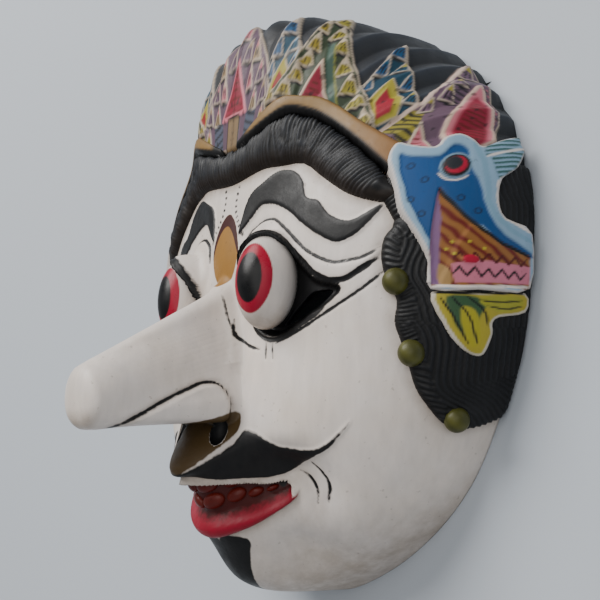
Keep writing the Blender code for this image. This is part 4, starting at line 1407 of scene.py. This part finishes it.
def rolled(rise, shoulder):
    """A panel that swells from its edge like a cushion."""
    return lambda ab, far: rise * (0.35 + 0.65 * pillow(far, shoulder))


def make_ball(name, centre, radii, material, segments=64, rings=40):
    deselect()
    at = (np.array(centre) + FRAME_SHIFT) * MM
    bpy.ops.mesh.primitive_uv_sphere_add(segments=segments, ring_count=rings, radius=MM)
    obj = bpy.context.object
    set_co(obj.data, co_of(obj.data) * radii + at)
    return finish_piece(obj, name, material)


class TOPENG_OT_body(bpy.types.Operator):
    """Carve the face, long nose and hollow"""
    bl_idname = "topeng.body"
    bl_label = "Face and Hollow"

    def execute(self, context):
        make_body()
        return {"FINISHED"}


class TOPENG_OT_eyes(bpy.types.Operator):
    """Set the two bulging painted eyeballs"""
    bl_idname = "topeng.eyes"
    bl_label = "Eyes"

    def execute(self, context):
        shade = paints()
        material = painted_wood("painted_eye", roughness=0.3, bump=0.12, dirt=0.25)
        for name, flip, turned in (("eye_right", 1, GAZE[0]), ("eye_left", -1, GAZE[1])):
            centre = eye_centre() * (flip, 1, 1) + (0, HEART_Y, 0)
            obj = make_ball(name, centre, np.array(EYE_SIZE), material, 128, 96)
            out = (co_of(obj.data) / MM - FRAME_SHIFT - centre) / EYE_SIZE
            gaze = np.array([sin(radians(turned)), -0.02, cos(radians(turned))])
            gaze /= np.linalg.norm(gaze)
            across = np.cross((0, 1, 0), gaze)
            across /= np.linalg.norm(across)
            up = np.cross(gaze, across)
            turn = np.degrees(np.arctan2(out @ across, out @ gaze))
            lift = np.degrees(np.arcsin(np.clip(out @ up, -1, 1)))
            rgb = np.tile(shade["white"] * 0.95, (len(out), 1))
            for size, pigment in ((IRIS, shade["red"] * 0.85), (PUPIL, shade["black"] * 0.8)):
                far = (np.hypot(turn / size[0], lift / size[1]) - 1) * size[0] / 5
                rgb += (pigment - rgb) * plateau(far, 0.35)[:, None]
            # The ball grows darker towards its underside through its darkening attribute.
            lay_paint(obj.data, rgb, np.clip((-lift - 30) / 60, 0, 1))
        return {"FINISHED"}


class TOPENG_OT_teeth(bpy.types.Operator):
    """Set two rows of rounded teeth in the mouth"""
    bl_idname = "topeng.teeth"
    bl_label = "Teeth"

    def execute(self, context):
        shade = paints()
        material = painted_wood("painted_tooth", roughness=0.35, bump=0.15, dirt=0.6)
        count = context.scene.topeng_finish.teeth
        for flip, side in ((1, "right"), (-1, "left")):
            for row, places in zip(("upper", "lower"), TOOTH_ROWS):
                for k, (a, b, wide, high) in enumerate(places[:count]):
                    spot = chart_ray(np.array([(a, b), (a + 0.5, b), (a, b + 0.5)]) * (flip, 1))
                    spot = from_heart(spot, dome(spot) - MOUTH_DEPTH - 0.2)
                    over = (spot[1] - spot[0]) / np.linalg.norm(spot[1] - spot[0])
                    out = np.cross(spot[1] - spot[0], spot[2] - spot[0]) * flip
                    out /= np.linalg.norm(out)
                    obj = make_ball(f"tooth_{row}_{side}_{k + 1}", (0, 0, 0), (1, 1, 1), material, 32,
                                    20)
                    unit = co_of(obj.data) / MM - FRAME_SHIFT
                    shape = unit * (wide * 1.08, high * 1.18, TOOTH_RISE)
                    put_co(obj.data, spot[0] + shape @ np.array([over, np.cross(out, over), out]))
                    crest = np.clip(unit[:, 2], 0, 1)[:, None]
                    # Each tooth is painted lighter round its rim than on its crest: painted highlight,
                    # strongest on the lower row.
                    rim = shade["maroon"] * ((2.2, 4.2, 3.4) if row == "lower" else (1.5, 2.2, 1.8))
                    worn = shade["maroon"] * (1.6, 2.2, 1.6)
                    lay_paint(obj.data, rim + (worn - rim) * crest ** 3, 0.35)
        return {"FINISHED"}


class TOPENG_OT_hair(bpy.types.Operator):
    """Carve the fringe of hair under the headband"""
    bl_idname = "topeng.hair"
    bl_label = "Hair Fringe"

    def execute(self, context):
        outline = rounded(mirrored(np.vstack([(0, 46), HAIRLINE[-2::-1], UPPER_HAIR_EDGE[1:][::-1],
                                              (0, 57)])), 3)
        make_panel("hair_fringe", outline, rolled(HAIR_RISE + 0.8, 5.0), lambda ab,
                   far: hair_paint(both_sides(ab), far), painted_wood("painted_hair", roughness=0.5,
                                                                      bump=0.3, dirt=0.25), step=0.55)
        return {"FINISHED"}


class TOPENG_OT_headband(bpy.types.Operator):
    """Lay the ochre headband over the fringe"""
    bl_idname = "topeng.headband"
    bl_label = "Headband"

    def execute(self, context):
        outline = np.vstack([rounded(BAND_EDGE, 5, False), rounded(BAND_FOOT, 5, False)])
        band = make_panel("headband_right", outline, flat(BAND_RISE), band_paint,
                          painted_wood("painted_band", roughness=0.45, bump=0.25, dirt=0.5))
        mirror_piece(band, "headband_left")
        return {"FINISHED"}


class TOPENG_OT_crown(bpy.types.Operator):
    """Carve the fluted crown and its stepped tumpals"""
    bl_idname = "topeng.crown"
    bl_label = "Crown"

    def execute(self, context):
        outline = np.vstack([rounded(CROWN_FOOT, 4, False), CROWN_SIDE])
        crown = make_panel("crown_right", outline, crown_height, crown_paint,
                           painted_wood("painted_crown", roughness=0.5, bump=0.3, dirt=0.6))
        mirror_piece(crown, "crown_left")
        return {"FINISHED"}


class TOPENG_OT_ornaments(bpy.types.Operator):
    """Carve the blue ear ornaments and the leaves below them"""
    bl_idname = "topeng.ornaments"
    bl_label = "Ear Ornaments"

    def execute(self, context):
        material = painted_wood("painted_ornament", roughness=0.42, bump=0.25, dirt=0.35)
        right = make_panel("ear_ornament_right", rounded(ORNAMENT, 3), flat(ORNAMENT_RISE),
                           ornament_paint, material)
        mirror_piece(right, "ear_ornament_left")
        leaf = make_panel("leaf_right", rounded(LEAF, 3), flat(LEAF_RISE), leaf_paint, material)
        mirror_piece(leaf, "leaf_left")
        return {"FINISHED"}


class TOPENG_OT_side_locks(bpy.types.Operator):
    """Carve the wavy locks in front of the ears, with their round studs"""
    bl_idname = "topeng.side_locks"
    bl_label = "Side Locks"

    def execute(self, context):
        shade = paints()
        lock = make_panel("side_lock_right", rounded(LOCK, 3), rolled(LOCK_RISE + 0.8, 4.0), lock_paint,
                          painted_wood("painted_lock", roughness=0.5, bump=0.3, dirt=0.3))
        mirror_piece(lock, "side_lock_left")
        olive = painted_wood("painted_stud", roughness=0.4, bump=0.2, dirt=0.4)
        for k, (a, b, size) in enumerate(STUDS):
            ray = chart_ray(np.array([[a, b]]))
            for flip, side in ((1, "right"), (-1, "left")):
                reach = dome(ray) + LOCK_RISE - size + STUD_RISE + 1.4
                centre = from_heart(ray, reach)[0] * (flip, 1, 1)
                obj = make_ball(f"stud_{side}_{k + 1}", centre, (size,) * 3, olive, 48, 32)
                out = co_of(obj.data) / MM - FRAME_SHIFT - centre
                wave = 0.5 + 0.5 * np.sin(out[:, 0] * 1.1 + out[:, 1] * 0.7)
                rgb = shade["lime"] * (0.16, 0.17, 0.25) + wave[:, None] * shade["lime"] * (0.10, 0.10, 0.1)
                lay_paint(obj.data, rgb, 0.3)
        return {"FINISHED"}


class TOPENG_OT_stage(bpy.types.Operator):
    """Lay the studio floor, its lights and the camera"""
    bl_idname = "topeng.stage"
    bl_label = "Stage"

    def execute(self, context):
        make_floor(context.scene.topeng_finish.floor)
        make_lights()
        make_camera()
        return {"FINISHED"}


def make_floor(width):
    deselect()
    bpy.ops.mesh.primitive_plane_add(size=width, location=(0, 0, FLOOR_LEVEL))
    floor = bpy.context.object
    floor.name = "studio_floor"
    material = bpy.data.materials.new("studio_floor")
    material.use_nodes = True
    shader = material.node_tree.nodes["Principled BSDF"]
    shader.inputs["Base Color"].default_value = FLOOR_COLOUR
    shader.inputs["Roughness"].default_value = FLOOR_ROUGHNESS
    floor.data.materials.append(material)


def aim(obj, at, target):
    """Turns an object's -Z towards the target."""
    back = np.array(at, float) - np.array(target, float)
    back /= np.linalg.norm(back)
    across = np.cross((0.13, 0.97, 0.2), back)
    across /= np.linalg.norm(across)
    up = np.cross(back, across)
    obj.matrix_world = Matrix([(across[k], up[k], back[k], at[k]) for k in range(3)] + [(0, 0, 0, 1)])


def make_lights():
    for name, at, size, power in LIGHTS:
        deselect()
        bpy.ops.object.light_add(type="AREA")
        lamp = bpy.context.object
        lamp.name = name
        lamp.data.shape = "DISK"
        lamp.data.size = size
        lamp.data.energy = power
        lamp.data.color = LIGHT_COLOUR
        aim(lamp, at, (0, 0, 0.04))
    world = bpy.data.worlds.new("studio")
    world.use_nodes = True
    background = world.node_tree.nodes["Background"]
    background.inputs["Color"].default_value = SKY_COLOUR
    background.inputs["Strength"].default_value = SKY_STRENGTH
    bpy.context.scene.world = world


def make_camera():
    a, e, r = radians(CAMERA_AZIMUTH), radians(CAMERA_ELEVATION), radians(CAMERA_ROLL)
    back = np.array([sin(a) * cos(e), sin(e), cos(a) * cos(e)])
    across = np.array([cos(a), 0, -sin(a)])
    up = np.cross(back, across)
    right = cos(r) * across + sin(r) * up
    top = -sin(r) * across + cos(r) * up
    at = (np.array(CAMERA_TARGET) + CAMERA_DISTANCE * back) * MM
    deselect()
    bpy.ops.object.camera_add()
    camera = bpy.context.object
    camera.name = "camera"
    camera.matrix_world = Matrix([(right[k], top[k], back[k],
                                   at[k]) for k in range(3)] + [(0, 0, 0, 1)])
    camera.data.lens = CAMERA_LENS
    camera.data.sensor_width = 36
    camera.data.clip_start = 0.01
    bpy.context.scene.camera = camera


class TOPENG_PT_panel(bpy.types.Panel):
    """Settings and pieces of the mask"""
    bl_label = "Topeng Mask"
    bl_idname = "TOPENG_PT_panel"
    bl_space_type = "VIEW_3D"
    bl_region_type = "UI"
    bl_category = "Topeng"

    def draw(self, context):
        layout = self.layout
        for group in (context.scene.topeng_paint, context.scene.topeng_finish):
            for name in group.__annotations__:
                layout.prop(group, name)
        for operator in OPERATORS:
            layout.operator(operator.bl_idname)


OPERATORS = (
    TOPENG_OT_body, TOPENG_OT_eyes, TOPENG_OT_teeth, TOPENG_OT_hair, TOPENG_OT_headband,
    TOPENG_OT_crown, TOPENG_OT_ornaments, TOPENG_OT_side_locks, TOPENG_OT_stage,
)
CLASSES = (TopengPaint, TopengFinish, TOPENG_PT_panel, *OPERATORS)


def register():
    for cls in CLASSES:
        bpy.utils.register_class(cls)
    bpy.types.Scene.topeng_paint = PointerProperty(type=TopengPaint)
    bpy.types.Scene.topeng_finish = PointerProperty(type=TopengFinish)


def unregister():
    del bpy.types.Scene.topeng_finish
    del bpy.types.Scene.topeng_paint
    for cls in reversed(CLASSES):
        bpy.utils.unregister_class(cls)


def main():
    register()
    bpy.ops.topeng.body()
    bpy.ops.topeng.eyes()
    bpy.ops.topeng.teeth()
    bpy.ops.topeng.hair()
    bpy.ops.topeng.headband()
    bpy.ops.topeng.crown()
    bpy.ops.topeng.ornaments()
    bpy.ops.topeng.side_locks()
    bpy.ops.topeng.stage()


if __name__ == "__main__":
    main()
